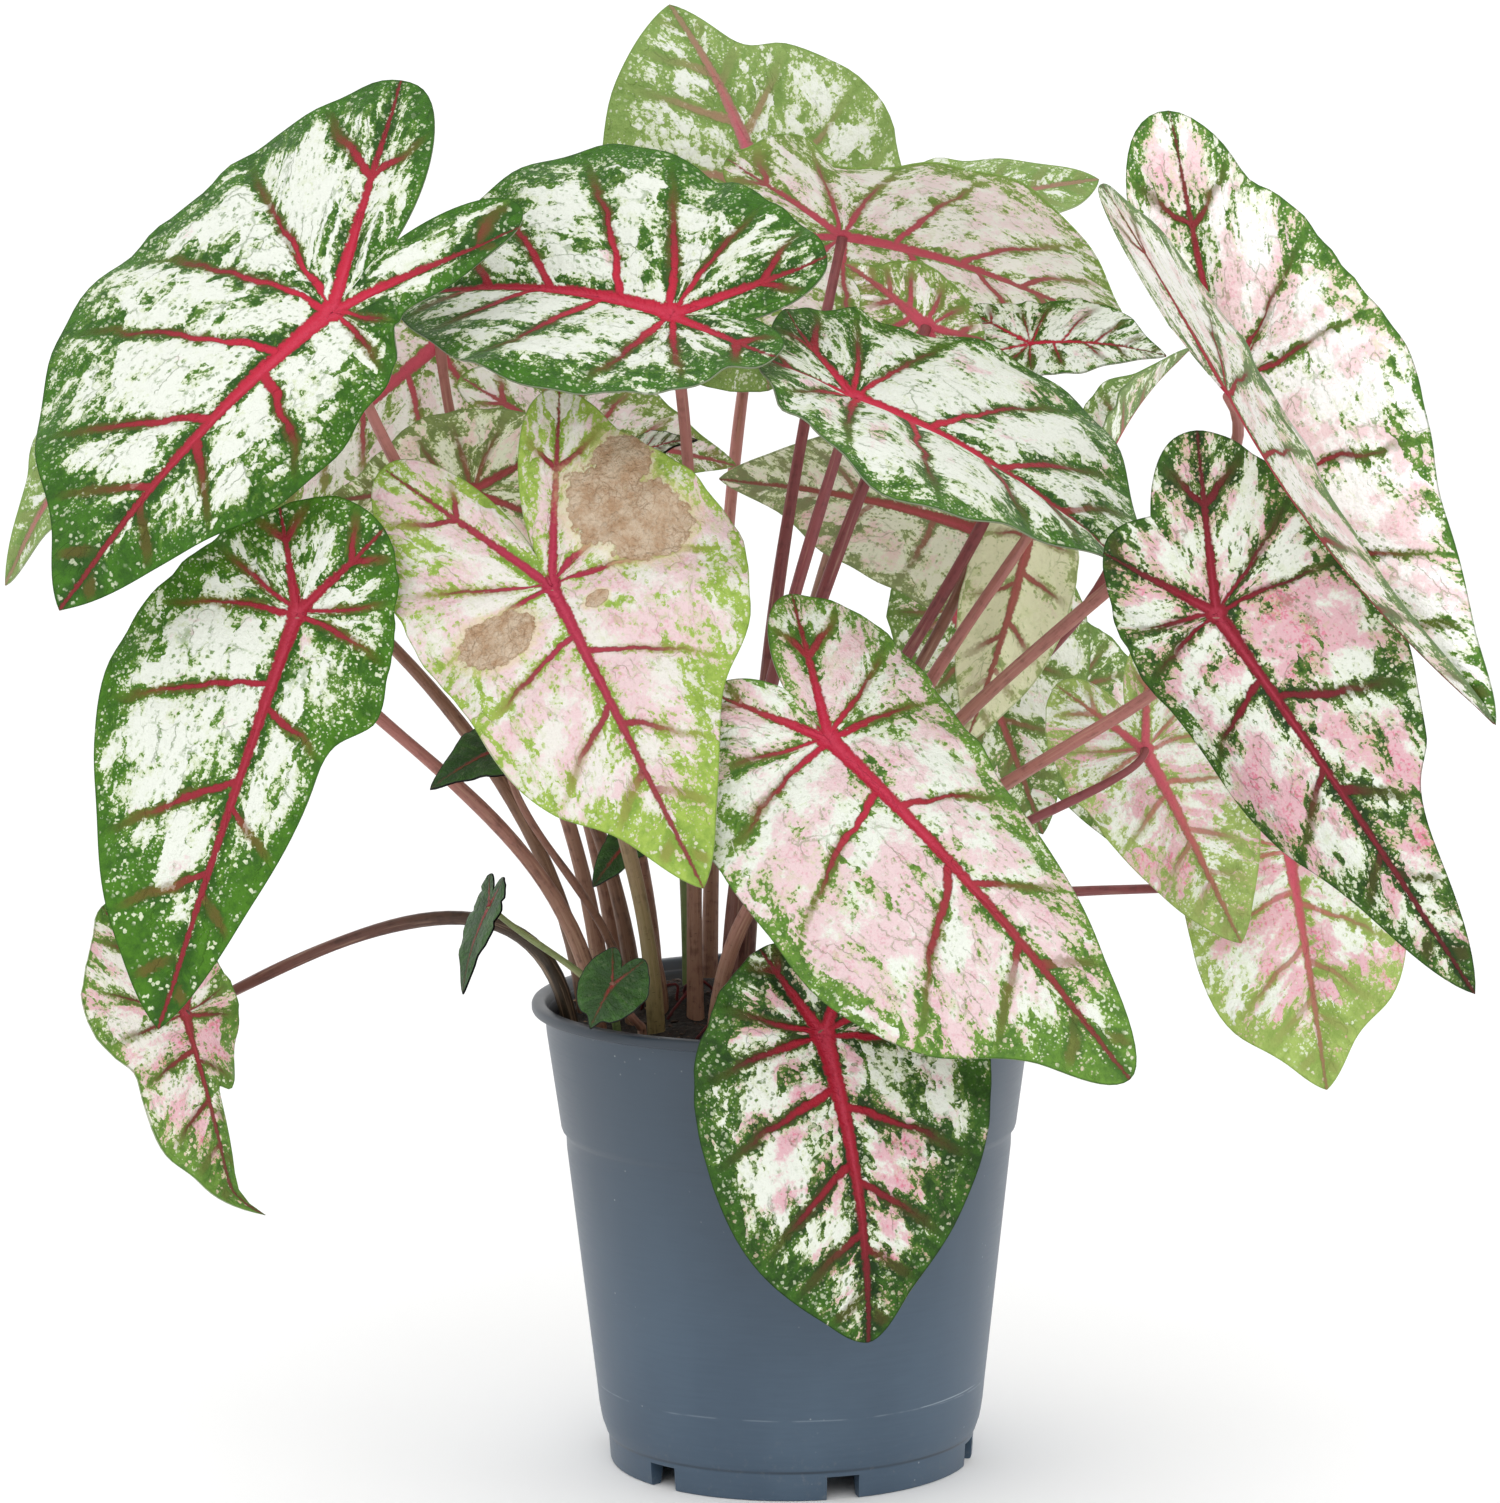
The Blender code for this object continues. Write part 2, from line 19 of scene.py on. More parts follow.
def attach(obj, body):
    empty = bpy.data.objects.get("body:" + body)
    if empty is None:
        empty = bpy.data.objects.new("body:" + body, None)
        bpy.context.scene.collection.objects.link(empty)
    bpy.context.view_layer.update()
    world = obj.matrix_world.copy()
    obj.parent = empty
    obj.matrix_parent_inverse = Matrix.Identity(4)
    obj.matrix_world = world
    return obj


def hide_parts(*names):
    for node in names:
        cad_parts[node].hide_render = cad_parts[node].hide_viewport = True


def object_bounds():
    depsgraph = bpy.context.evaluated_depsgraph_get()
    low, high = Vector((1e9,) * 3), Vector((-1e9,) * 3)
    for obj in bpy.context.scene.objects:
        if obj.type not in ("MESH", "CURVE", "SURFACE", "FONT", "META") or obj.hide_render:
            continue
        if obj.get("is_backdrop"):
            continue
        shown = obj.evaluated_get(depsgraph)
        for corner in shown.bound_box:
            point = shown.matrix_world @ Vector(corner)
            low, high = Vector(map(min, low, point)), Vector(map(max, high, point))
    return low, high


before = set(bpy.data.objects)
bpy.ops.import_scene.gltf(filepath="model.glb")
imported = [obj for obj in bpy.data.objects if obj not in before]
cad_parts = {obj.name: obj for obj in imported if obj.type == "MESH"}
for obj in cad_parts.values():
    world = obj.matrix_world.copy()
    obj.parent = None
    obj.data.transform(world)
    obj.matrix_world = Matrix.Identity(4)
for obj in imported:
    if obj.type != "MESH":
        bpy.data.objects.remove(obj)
CAD_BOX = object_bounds()

LOG = logging.getLogger("caladium")
MM = 0.001
Colour = tuple[float, float, float]

# Sizes shared with the part's source
SOIL_HEIGHT = 123.6
STALK_DEPTH = 10.0
GAP = 0.3
CREASE = 2.5
CAD_BLADE_THICKNESS = 0.8
OUTLINE_ANGLES = (0.0, 10.0, 25.0, 55.0, 90.0, 130.0, 160.0, 180.0)

# The finished blade is thinner than its solid
BLADE_THICKNESS = 0.5

# What a colour is scaled by to show as itself under the studio's light
LIGHT_SHARE = 0.8

# The share of its own colour that a thin blade gives off as a painted glow, which stands in for the light
# that thin blades let pass
PAINTED_GLOW_SHARE = 0.26

# What a stalk's girth is scaled by, because the solids' stalks are a little stout
SLENDER = 0.88

# About how far a blade's edge goes in and out, as a share of the outline's radius
RIPPLE = 0.018

# Blades with a longer midrib than this are divided finely
LARGE_BLADE = 76.0

# A blade's relief: the rise between side veins, the midrib's depth and the edge's waves, in full
# from this length of the midrib on
QUILT = 1.5
MIDRIB_DEPTH = 0.9
EDGE_WAVE = 1.1
FULL_RELIEF_LENGTH = 90.0

# Roots of the side veins along the midrib, as shares of its length
VEIN_ROOTS = (0.0, 0.23, 0.47, 0.69, 0.89, 1.12)

# The lobe vein's direction from the midrib, and the step of its side veins as a share of the lobe
LOBE_TURN = 152.0
LOBE_VEIN_STEP = 0.6

# The most that two side veins are taken to stand apart
WIDEST_SPREAD = 45.0

# The size of the small cells between the veins
AREOLE = 5.2


def lit(red: int, green: int, blue: int) -> Colour:
    """Returns the surface colour that shows as this one, of 0 to 255, in the studio's light."""
    values = [c / 255 for c in (red, green, blue)]
    linear = [c / 12.92 if c <= 0.04045 else ((c + 0.055) / 1.055) ** 2.4 for c in values]
    return linear[0] * LIGHT_SHARE, linear[1] * LIGHT_SHARE, linear[2] * LIGHT_SHARE


def unit(vector: Sequence[float]) -> np.ndarray:
    """Returns the vector at length one."""
    array = np.asarray(vector, float)
    return array / np.linalg.norm(array)


def ease(x: np.ndarray) -> np.ndarray:
    """Returns a smooth step from 0 to 1."""
    x = np.clip(x, 0, 1)
    return x * x * (3 - 2 * x)


class Side(Enum):
    """The two faces of a blade."""

    UPPER = "upper"
    LOWER = "lower"


class Detail(Enum):
    """How finely a blade is divided: directions round its joint, and rings."""

    LARGE = (176, 62)
    MIDDLE = (120, 40)
    SMALL = (64, 22)


class Tint(Enum):
    """Stalk colours: foot, top and streaks."""

    PINK = (lit(160, 120, 98), lit(186, 120, 112), lit(104, 68, 54))
    BROWN = (lit(132, 98, 76), lit(150, 104, 88), lit(72, 50, 40))
    WINE = (lit(124, 82, 72), lit(150, 78, 82), lit(76, 40, 40))
    OLIVE = (lit(146, 130, 86), lit(176, 140, 116), lit(104, 88, 54))
    DARK = (lit(66, 54, 40), lit(120, 76, 66), lit(32, 28, 20))
    GREEN = (lit(120, 140, 84), lit(140, 150, 96), lit(88, 110, 56))


class Value:
    """A shader socket that Python's arithmetic works on."""

    def __init__(self, graph: "Graph", socket: bpy.types.NodeSocket) -> None:
        """Keeps the graph and the socket."""
        self.graph = graph
        self.socket = socket

    def math(self, operation: str, *others: Union["Value", float]) -> "Value":
        """Adds a Math node.

        Args:
            operation: The node's operation.
            others: Its other inputs.

        Returns:
            The node's result.
        """
        sockets = dict(enumerate((self, *others)))
        return self.graph.add("ShaderNodeMath", {"operation": operation}, sockets)

    def __add__(self, other: Union["Value", float]) -> "Value":
        """Returns the sum."""
        return self.math("ADD", other)

    def __sub__(self, other: Union["Value", float]) -> "Value":
        """Returns the difference."""
        return self.math("SUBTRACT", other)

    def __rsub__(self, other: float) -> "Value":
        """Returns a number less this value."""
        return (self * -1.0) + other

    def __mul__(self, other: Union["Value", float]) -> "Value":
        """Returns the product."""
        return self.math("MULTIPLY", other)

    def __truediv__(self, other: Union["Value", float]) -> "Value":
        """Returns the quotient."""
        return self.math("DIVIDE", other)

    __radd__ = __add__

    def least(self, *others: Union["Value", float]) -> "Value":
        """Returns the smallest of this and the others."""
        result = self
        for other in others:
            result = result.math("MINIMUM", other)
        return result

    def most(self, *others: Union["Value", float]) -> "Value":
        """Returns the largest of this and the others."""
        result = self
        for other in others:
            result = result.math("MAXIMUM", other)
        return result

    def step(self, low: Union["Value", float], high: Union["Value", float]) -> "Value":
        """Returns a smooth step that is 0 at low and 1 at high, in either order."""
        settings = {"interpolation_type": "SMOOTHSTEP"}
        return self.graph.add("ShaderNodeMapRange", settings, {0: self, 1: low, 2: high})


class Graph:
    """A material's node tree, built from Python expressions."""

    def __init__(self, name: str) -> None:
        """Starts a material with a Principled shader.

        Args:
            name: The material's name.
        """
        self.material = bpy.data.materials.new(name)
        self.material.use_nodes = True
        self.tree = self.material.node_tree
        self.shader = self.tree.nodes["Principled BSDF"]

    def add(self, kind: str, settings: dict[str, Any], sockets: dict[Any, Any], output: Any = 0) -> Value:
        """Adds a node.

        Args:
            kind: The node's type.
            settings: Its properties, set before its sockets.
            sockets: Its inputs by name or place, as values, numbers or colours.
            output: The output to return, by name or place.

        Returns:
            The output as a value.
        """
        node = self.tree.nodes.new(kind)
        for name, setting in settings.items():
            setattr(node, name, setting)
        for name, value in sockets.items():
            self.feed(node.inputs[name], value)
        return Value(self, node.outputs[output])

    def feed(self, socket: bpy.types.NodeSocket, value: Any) -> None:
        """Links a value to a socket, or sets the socket to a number or colour."""
        if isinstance(value, Value):
            self.tree.links.new(value.socket, socket)
        elif socket.type == "RGBA":
            socket.default_value = (*value, 1.0)
        else:
            socket.default_value = value

    def dress(self, **sockets: Any) -> bpy.types.Material:
        """Feeds the Principled shader, whose sockets are named with underscores, and returns the material."""
        for name, value in sockets.items():
            self.feed(self.shader.inputs[name.replace("_", " ")], value)
        return self.material

    def mix(self, factor: Any, first: Any, second: Any) -> Value:
        """Returns first where the factor is 0 and second where it is 1."""
        sockets = {0: factor, 6: first, 7: second}
        return self.add("ShaderNodeMix", {"data_type": "RGBA"}, sockets, 2)

    def attribute(self, name: str) -> Value:
        """Returns a mesh attribute as a vector."""
        return self.add("ShaderNodeAttribute", {"attribute_name": name}, {}, "Vector")

    def place(self) -> Value:
        """Returns the object's own coordinates in millimetres."""
        coordinates = self.add("ShaderNodeTexCoord", {}, {}, "Object")
        return self.stretch(coordinates, (1000.0, 1000.0, 1000.0))

    def split(self, vector: Value) -> tuple[Value, Value, Value]:
        """Returns a vector's three parts."""
        first = self.add("ShaderNodeSeparateXYZ", {}, {0: vector}, 0)
        outputs = first.socket.node.outputs
        return first, Value(self, outputs[1]), Value(self, outputs[2])

    def join(self, x: Any, y: Any, z: Any) -> Value:
        """Returns a vector of three parts."""
        return self.add("ShaderNodeCombineXYZ", {}, {0: x, 1: y, 2: z})

    def stretch(self, vector: Value, scale: tuple[float, float, float]) -> Value:
        """Returns a vector with each part scaled."""
        return self.add("ShaderNodeVectorMath", {"operation": "MULTIPLY"}, {0: vector, 1: scale})

    def cloud(self, vector: Value, size: float, detail: float = 2.0, rough: float = 0.5) -> Value:
        """Returns noise about 0, with lumps of a size in millimetres."""
        sockets = {"Vector": vector, "Scale": 1.0 / size, "Detail": detail, "Roughness": rough}
        return self.add("ShaderNodeTexNoise", {}, sockets) - 0.5

    def cells(self, vector: Value, size: float, feature: str = "F1", output: str = "Distance") -> Value:
        """Returns the distance, or the colour, in a pattern of cells of a size in millimetres."""
        sockets = {"Vector": vector, "Scale": 1.0 / size}
        return self.add("ShaderNodeTexVoronoi", {"feature": feature}, sockets, output)

    def bump(self, height: Value, millimetres: float) -> Value:
        """Returns the normal of a surface raised by a height of up to some millimetres."""
        sockets = {"Strength": 1.0, "Distance": millimetres * MM, "Height": height}
        return self.add("ShaderNodeBump", {}, sockets)


@dataclass(frozen=True)
class Scar:
    """A dry brown patch: its middle along and across the flat blade, and its size, in millimetres."""

    along: float
    across: float
    length: float
    width: float


@dataclass(frozen=True)
class LeafFinish:
    """The paint of one kind of leaf.

    margin is the green edge's width, halo the green beside the side veins and cover widens the
    pale patches, in millimetres. fade is how sharply the patches end towards the edge, splash how
    broken they are. pink, fleck, net, ribs (the side veins' colour) and wash (the lower face's
    paleness) are shares of 1. Patches thin out beyond bare, in millimetres along the midrib.
    A blade marked to glow gives off a share of its own colour as painted light, standing in for the light
    that thin blades let pass, and shine makes its upper face glossier.
    """

    name: str
    edge: Colour
    deep: Colour
    pale: Colour
    blush: Colour
    rose: Colour
    vein: Colour
    vein_end: Colour
    margin: float = 6.0
    halo: float = 1.4
    cover: float = 0.3
    fade: float = 0.3
    splash: float = 1.0
    pink: float = 0.3
    fleck: float = 0.8
    net: float = 0.5
    vein_width: float = 1.0
    ribs: float = 1.0
    wash: float = 0.3
    bare: float = 1000.0
    scars: tuple[Scar, ...] = ()
    painted_glow: bool = False
    shine: float = 0.0

    def material(self, side: Side) -> bpy.types.Material:
        """Builds the paint of one face of the blade, once.

        Args:
            side: The upper or the lower face.

        Returns:
            The material.
        """
        name = f"{self.name}_{side.value}"
        return bpy.data.materials.get(name) or BladePaint(self, name).dress(side)


class BladePaint:
    """The shader of one face of a blade, built from the attributes that the blade carries."""

    def __init__(self, finish: LeafFinish, name: str) -> None:
        """Reads the attributes and lays out the noises that the pattern shares.

        Args:
            finish: The leaf's colours and sizes.
            name: The material's name.
        """
        self.finish = finish
        g = self.graph = Graph(name)
        self.phase, self.spread, run = g.split(g.attribute("veins"))
        middle, lobe, self.edge = g.split(g.attribute("lines"))
        self.flat = g.attribute("flat")
        self.u, self.v, self.seed = g.split(self.flat)
        self.reach = (self.u * self.u + self.v * self.v).math("SQRT")
        self.coarse = g.cloud(self.flat, 9.0)
        self.teeth = g.cloud(self.flat, 2.4, 3.0, 0.65)
        self.grain = g.cloud(self.flat, 1.0, 3.0, 0.6)
        self.stretched = g.join(self.phase * 17.0, run * 0.8, self.seed)
        self.stream = g.join(self.phase * 17.0, run * 0.42, self.seed)
        self.drift = g.cloud(self.stream, 5.0, 4.0, 0.66)
        self.ladder = g.join(self.phase * 12.0 + self.coarse * 9.0, run + self.teeth * 3.5, self.seed)
        distance = run.math("ABSOLUTE")
        self.run_share = distance / (distance + self.edge + 0.5)
        self.trunk_share = self.reach / (self.reach + self.edge + 0.5)

        # The net of fine green lines round the small cells
        web = g.cells(self.ladder, AREOLE, "DISTANCE_TO_EDGE")
        self.net = web.step(0.04, 0.01) * (self.coarse + self.teeth * 0.5).step(-0.02, 0.14)

        # Distances from the veins' sides, negative inside a vein
        width = finish.vein_width
        gap = (self.phase + self.coarse * 0.2).math("PINGPONG", 0.5) * self.spread
        side_width = (1.0 - self.run_share * 0.9).least(self.spread * 0.14) * width
        middle = middle.math("ABSOLUTE") - (2.3 - self.trunk_share * 1.95) * width
        lobe = lobe.math("ABSOLUTE") - (1.75 - self.trunk_share * 1.6) * width
        hub = self.reach - 3.0 * width
        self.side = gap - side_width + self.grain * 1.0
        self.trunk = middle.least(lobe, hub) + self.grain * 1.4 + self.teeth * 0.8

    def vein(self) -> Value:
        """Returns 1 on the red veins, which die out before the edge."""
        fade = (self.run_share + self.drift * 0.6).step(0.85, 0.5)
        side = self.side.step(0.28, -0.22) * fade * self.finish.ribs
        return (side * self.trunk_share.step(0.9, 0.68)).most(self.trunk.step(0.32, -0.3))

    def dusk(self) -> Value:
        """Returns the strength of the dull band beside each side vein, short of the edge."""
        band = (self.side + self.grain * 1.6 + self.teeth * 1.2).step(1.5, 0.2)
        band = band * self.run_share.step(0.08, 0.4) * 0.62
        return band * self.run_share.step(0.97, 0.66) * self.finish.ribs

    def red(self) -> Value:
        """Returns the veins' colour: dull at their rims and ends, with a painted highlight along the middle
        of the thick ones.
        """
        g, f = self.graph, self.finish
        dull = (self.trunk_share * 0.8).most(self.run_share * 1.2).step(0.1, 0.85)
        rim = self.trunk.least(self.side).step(-0.9, 0.1) * 0.5
        red = g.mix(rim, g.mix(dull, f.vein, f.vein_end), f.vein_end)
        # Painted highlight along the middle of the thick veins, where a raised rounded vein would catch the
        # light
        return g.mix(self.trunk.step(-0.7, -2.0) * (self.grain * 0.8 + 0.3), red, lit(226, 84, 112))

    def field(self) -> Value:
        """Returns how far inside a pale patch a point is, negative outside."""
        f = self.finish
        halo = (self.run_share * 1.7 + 0.12) * f.halo
        inward = (self.edge - f.margin) * f.fade - (self.u - f.bare).most(0.0) * 0.2
        trunk = self.trunk - (self.trunk_share * 1.5 + 0.2) * f.halo
        clear = (self.side - halo).least(trunk, inward, 1.9)
        areoles = self.lot(AREOLE) * 3.2 + self.lot(AREOLE * 0.42) * 2.0
        noise_sum = self.drift * 9.0 + self.teeth * 4.2 + self.grain * 1.6 + areoles
        return clear + noise_sum * f.splash + self.grain * 1.3 + f.cover

    def lot(self, size: float) -> Value:
        """Returns a number about 0 that is the same all over each small cell between the veins."""
        return self.graph.split(self.graph.cells(self.ladder, size, "F1", "Color"))[0] - 0.5

    def patch(self, field: Value) -> Value:
        """Returns 1 on the pale patches and flecks, broken by a net of fine green lines."""
        g, f = self.graph, self.finish
        specks = g.cells(self.flat, 1.7) + self.grain * 0.9 + self.teeth * 0.4
        specks = specks.step(0.34, 0.24) * g.cloud(self.flat, 5.0, 2.0).step(-0.07, 0.07)
        specks = specks * self.edge.step(0.4, 1.2) * self.side.step(0.4, 1.0) * f.fleck
        sand = (g.cells(self.flat, 0.9) + self.grain * 0.9).step(0.32, 0.2)
        sand = sand * (self.drift + self.teeth).step(-0.18, 0.04)
        sand = sand * field.step(-5.5, -1.5) * self.edge.step(0.4, 1.0) * self.side.step(0.2, 0.9) * f.fleck
        chinks = (g.cells(self.stretched, 1.3) + self.grain * 1.1).step(0.42, 0.26) * field.step(7.5, 0.4)
        chinks = chinks * (self.teeth - self.drift).step(-0.1, 0.14)
        patch = field.step(-0.22, 0.2) * (1.0 - (self.net * f.net).most(chinks))
        return patch.most(specks, sand)

    def pale(self, field: Value) -> Value:
        """Returns the patches' colour: white, blushed in clouds, hazed with green at their rims."""
        g, f = self.graph, self.finish
        cloud = g.cloud(self.stream, 8.0, 3.0, 0.55) + self.coarse * 0.5
        flush = cloud + self.grain * 0.3
        blush = flush.step(0.3 - f.pink * 0.62, 0.42 - f.pink * 0.58)
        mottle = cloud + self.teeth * 0.6 + g.cloud(self.flat, 0.8) * 0.75
        rose = mottle.step(0.36 - f.pink * 0.4, 0.56 - f.pink * 0.4)
        tone = g.mix(blush, f.pale, g.mix(rose, f.blush, f.rose))
        haze = field.step(1.6, 0.0) * 0.42
        haze = haze.most((self.teeth - self.coarse).step(0.1, 0.34) * 0.22)
        return g.mix(haze, tone, lit(190, 210, 124))

    def green(self, field: Value) -> Value:
        """Returns the green's colour: dark by the veins, lighter and mottled towards the edge."""
        g, f = self.graph, self.finish
        dark = (self.side.least(self.trunk) + self.drift * 7.0).step(3.6, 0.2)
        mottle = (self.teeth + self.drift * 0.8).step(-0.3, 0.2)
        green = g.mix(mottle * 0.7 + 0.3, f.deep, f.edge)
        green = g.mix(dark * self.run_share.step(0.95, 0.5) * 0.75, green, f.deep)
        rim = field.step(-1.8, -0.2) * 0.5
        return g.mix(rim, green, g.mix(0.35, f.edge, lit(170, 196, 96)))

    def depth(self, scar: Scar) -> Value:
        """Returns 1 in the middle of a dry patch, 0 at its rim and less outside it."""
        across = (self.v - scar.across) / scar.width
        along = (self.u - scar.along) / scar.length
        return 1.0 - (across * across + along * along).math("SQRT")

    def scarred(self, skin: Value) -> tuple[Value, Value]:
        """Lays the dry patches over the paint.

        Args:
            skin: The paint.

        Returns:
            The paint with the patches, and 1 on them.
        """
        g = self.graph
        first, *others = [self.depth(scar) for scar in self.finish.scars]
        inside = first.most(*others, -1.0) + self.teeth * 0.7 + self.coarse * 0.7
        folds = g.cloud(self.flat, 5.0, 3.0, 0.5)
        wrinkled = g.join(self.u + self.teeth * 2.0, self.v + self.grain * 1.0, 0.0)
        lines = g.cells(wrinkled, 2.6, "DISTANCE_TO_EDGE")
        paper = g.mix((folds + self.grain * 0.5).step(-0.25, 0.22), lit(196, 160, 126), lit(228, 206, 180))
        paper = g.mix(lines.step(0.06, 0.015) * self.coarse.step(-0.1, 0.1) * 0.4, paper, lit(158, 118, 82))
        paper = g.mix(inside.step(0.14, 0.02) * 0.5, paper, lit(160, 122, 78))
        skin = g.mix(inside.step(-0.4, 0.02) * 0.55, skin, lit(228, 216, 158))
        scar = inside.step(0.0, 0.07)
        return g.mix(scar, skin, paper), scar

    def dress(self, side: Side) -> bpy.types.Material:
        """Joins veins, patches and green into one face's finish.

        Args:
            side: The upper or the lower face.

        Returns:
            The material.
        """
        g, f = self.graph, self.finish
        field, vein = self.field(), self.vein()
        skin = g.mix(self.patch(field), self.green(field), self.pale(field))
        skin = g.mix(self.dusk(), skin, g.mix(0.45, f.vein_end, f.edge))
        skin = g.mix(vein, skin, self.red())
        skin = g.mix(self.edge.step(0.5, 0.1) * 0.6, skin, f.deep)
        relief = vein * 0.4 + self.teeth * 1.0 + self.grain * 0.4 + self.coarse * 1.2 - self.net * 0.25
        scar: Any = 0.0
        if f.scars:
            skin, scar = self.scarred(skin)
            relief = relief + scar * (self.teeth * 1.5 + self.grain * 0.8 - 0.3)
        if side is Side.LOWER:
            washed = g.mix(vein, lit(226, 222, 204), lit(178, 104, 98))
            skin = g.mix(vein * 0.15 + f.wash, skin, washed)
            g.dress(Roughness=0.65, Specular_IOR_Level=0.15)
        else:
            gloss = self.grain * 0.2 + 0.46 - f.shine + scar * 0.3
            g.dress(Roughness=gloss, Specular_IOR_Level=0.22 + f.shine)
        # Painted glow: the blade gives off a share of its own colour, standing in for light shining into it
        # from behind
        if f.painted_glow:
            g.dress(Emission_Color=skin, Emission_Strength=PAINTED_GLOW_SHARE)
        return g.dress(Base_Color=skin, Normal=g.bump(relief, 0.8))


CRIMSON = lit(206, 32, 64)
WINE_RED = lit(146, 20, 42)
DULL_RED = lit(112, 52, 42)
WHITE = lit(245, 249, 238)
WARM_WHITE = lit(244, 240, 232)
FAINT_PINK = lit(242, 214, 216)
SOFT_PINK = lit(236, 190, 198)
STRONG_PINK = lit(230, 138, 160)

VERDANT = LeafFinish(
    "verdant", lit(66, 120, 20), lit(32, 74, 12), WHITE, FAINT_PINK, SOFT_PINK, CRIMSON,
    lit(130, 40, 42), margin=8.8, halo=1.9, cover=-0.25, fade=0.4, pink=0.1, splash=1.3,
    vein_width=1.3, bare=66.0, fleck=0.7,
)
FRESH = LeafFinish(
    "fresh", lit(70, 122, 22), lit(32, 72, 14), WHITE, FAINT_PINK, SOFT_PINK, CRIMSON, DULL_RED,
    margin=7.0, halo=1.8, cover=0.1, fade=0.36, pink=0.35, splash=1.2, vein_width=1.15,
)
BLUSHED = LeafFinish(
    "blushed", lit(84, 130, 44), lit(42, 84, 24), lit(252, 250, 248), FAINT_PINK, SOFT_PINK,
    lit(172, 40, 62), lit(104, 52, 42), margin=5.8, halo=1.2, cover=0.8, pink=0.54, fade=0.32,
    splash=1.15, fleck=1.0, net=0.45, vein_width=0.95, wash=0.15, painted_glow=True,
)
ROSE = LeafFinish(
    "rose", lit(66, 110, 28), lit(20, 48, 10), WHITE, SOFT_PINK, STRONG_PINK, WINE_RED,
    lit(92, 32, 32), margin=6.5, halo=1.7, cover=0.3, pink=0.6, fade=0.38, splash=1.25, fleck=1.0, net=0.45,
)
DEEP = LeafFinish(
    "deep", lit(58, 104, 20), lit(14, 42, 6), WHITE, SOFT_PINK, STRONG_PINK,
    lit(176, 18, 46), lit(98, 30, 32), margin=8.0, halo=2.1, cover=-0.6, fade=0.42, pink=0.54,
    splash=1.25, fleck=0.6, net=0.3, vein_width=1.2,
)
LEAFY = LeafFinish(
    "leafy", lit(76, 130, 22), lit(36, 82, 12), WHITE, FAINT_PINK, SOFT_PINK,
    lit(172, 30, 54), lit(146, 42, 50), margin=9.2, halo=1.8, cover=-0.2, fade=0.4, pink=0.28,
    splash=1.25, fleck=1.0, bare=60.0,
)
LIME = LeafFinish(
    "lime", lit(172, 200, 88), lit(124, 160, 58), WARM_WHITE, FAINT_PINK, SOFT_PINK,
    lit(184, 48, 78), lit(140, 66, 62), margin=6.5, halo=0.8, cover=0.6, pink=0.6, fade=0.17,
    splash=1.0, fleck=1.0, net=0.35, vein_width=0.95, bare=56.0,
    scars=(
        Scar(-13.0, 20.0, 12.0, 9.0), Scar(-4.0, 29.0, 11.0, 12.0), Scar(-22.0, 31.0, 8.0, 8.0),
        Scar(8.0, -19.0, 7.0, 11.0), Scar(10.0, 9.0, 2.2, 3.4),
    ),
)
PALE_ROSE = LeafFinish(
    "pale_rose", lit(108, 152, 54), lit(56, 98, 30), WHITE, FAINT_PINK, SOFT_PINK,
    lit(196, 34, 66), lit(126, 60, 50), margin=5.6, halo=1.3, cover=0.75, pink=0.68, fade=0.3,
    splash=1.15, fleck=1.0, net=0.4, vein_width=1.15, bare=84.0,
)
SHELL_PINK = LeafFinish(
    "shell_pink", lit(112, 150, 62), lit(66, 104, 38), WARM_WHITE, SOFT_PINK, STRONG_PINK,
    lit(152, 54, 58), lit(104, 60, 48), margin=4.5, halo=1.2, cover=0.6, pink=0.64, splash=1.15,
    net=0.45, vein_width=0.7, bare=24.0, fleck=1.0, painted_glow=True,
)
TENDER = replace(FRESH, name="tender", margin=2.2, halo=0.7, cover=0.9, vein_width=0.42)
HAZE = LeafFinish(
    "haze", lit(150, 178, 98), lit(116, 150, 70), WHITE, FAINT_PINK, SOFT_PINK,
    lit(206, 104, 128), lit(160, 140, 104), margin=5.0, halo=1.5, cover=-1.3, pink=0.15,
    splash=1.35, fleck=1.0, net=0.2, vein_width=1.5, ribs=0.6,
)
PLAIN = LeafFinish(
    "plain", lit(124, 154, 80), lit(84, 118, 54), WHITE, FAINT_PINK, SOFT_PINK,
    lit(180, 84, 92), lit(130, 98, 72), margin=5.0, halo=1.6, cover=-0.2, pink=0.42, splash=1.2,
    fleck=1.0, net=0.35, ribs=0.7, wash=0.1, painted_glow=True,
)
SUNLIT = LeafFinish(
    "sunlit", lit(170, 194, 104), lit(132, 160, 74), WHITE, SOFT_PINK, STRONG_PINK,
    lit(204, 92, 108), lit(150, 126, 86), margin=8.0, halo=1.3, cover=1.1, pink=0.6, fade=0.22,
    splash=1.15, fleck=1.0, net=0.25, vein_width=0.85, ribs=0.8, wash=0.05, bare=34.0, painted_glow=True,
)
TRANSLUCENT = LeafFinish(
    "translucent", lit(144, 168, 88), lit(104, 134, 60), lit(252, 250, 242), lit(250, 232, 232),
    lit(246, 214, 220), lit(200, 78, 98), lit(152, 90, 82), margin=4.5, halo=1.3, cover=0.2,
    pink=0.6, fade=0.25, splash=1.25, fleck=1.0, net=0.4, wash=0.0, painted_glow=True,
)
OLIVE = LeafFinish(
    "olive", lit(134, 150, 88), lit(100, 118, 62), lit(238, 240, 216), lit(240, 218, 208),
    lit(232, 190, 188), lit(158, 68, 68), lit(118, 78, 60), margin=4.0, halo=1.3, cover=0.2,
    pink=0.5, splash=1.15, net=0.5, ribs=0.7, wash=0.1, painted_glow=True,
)
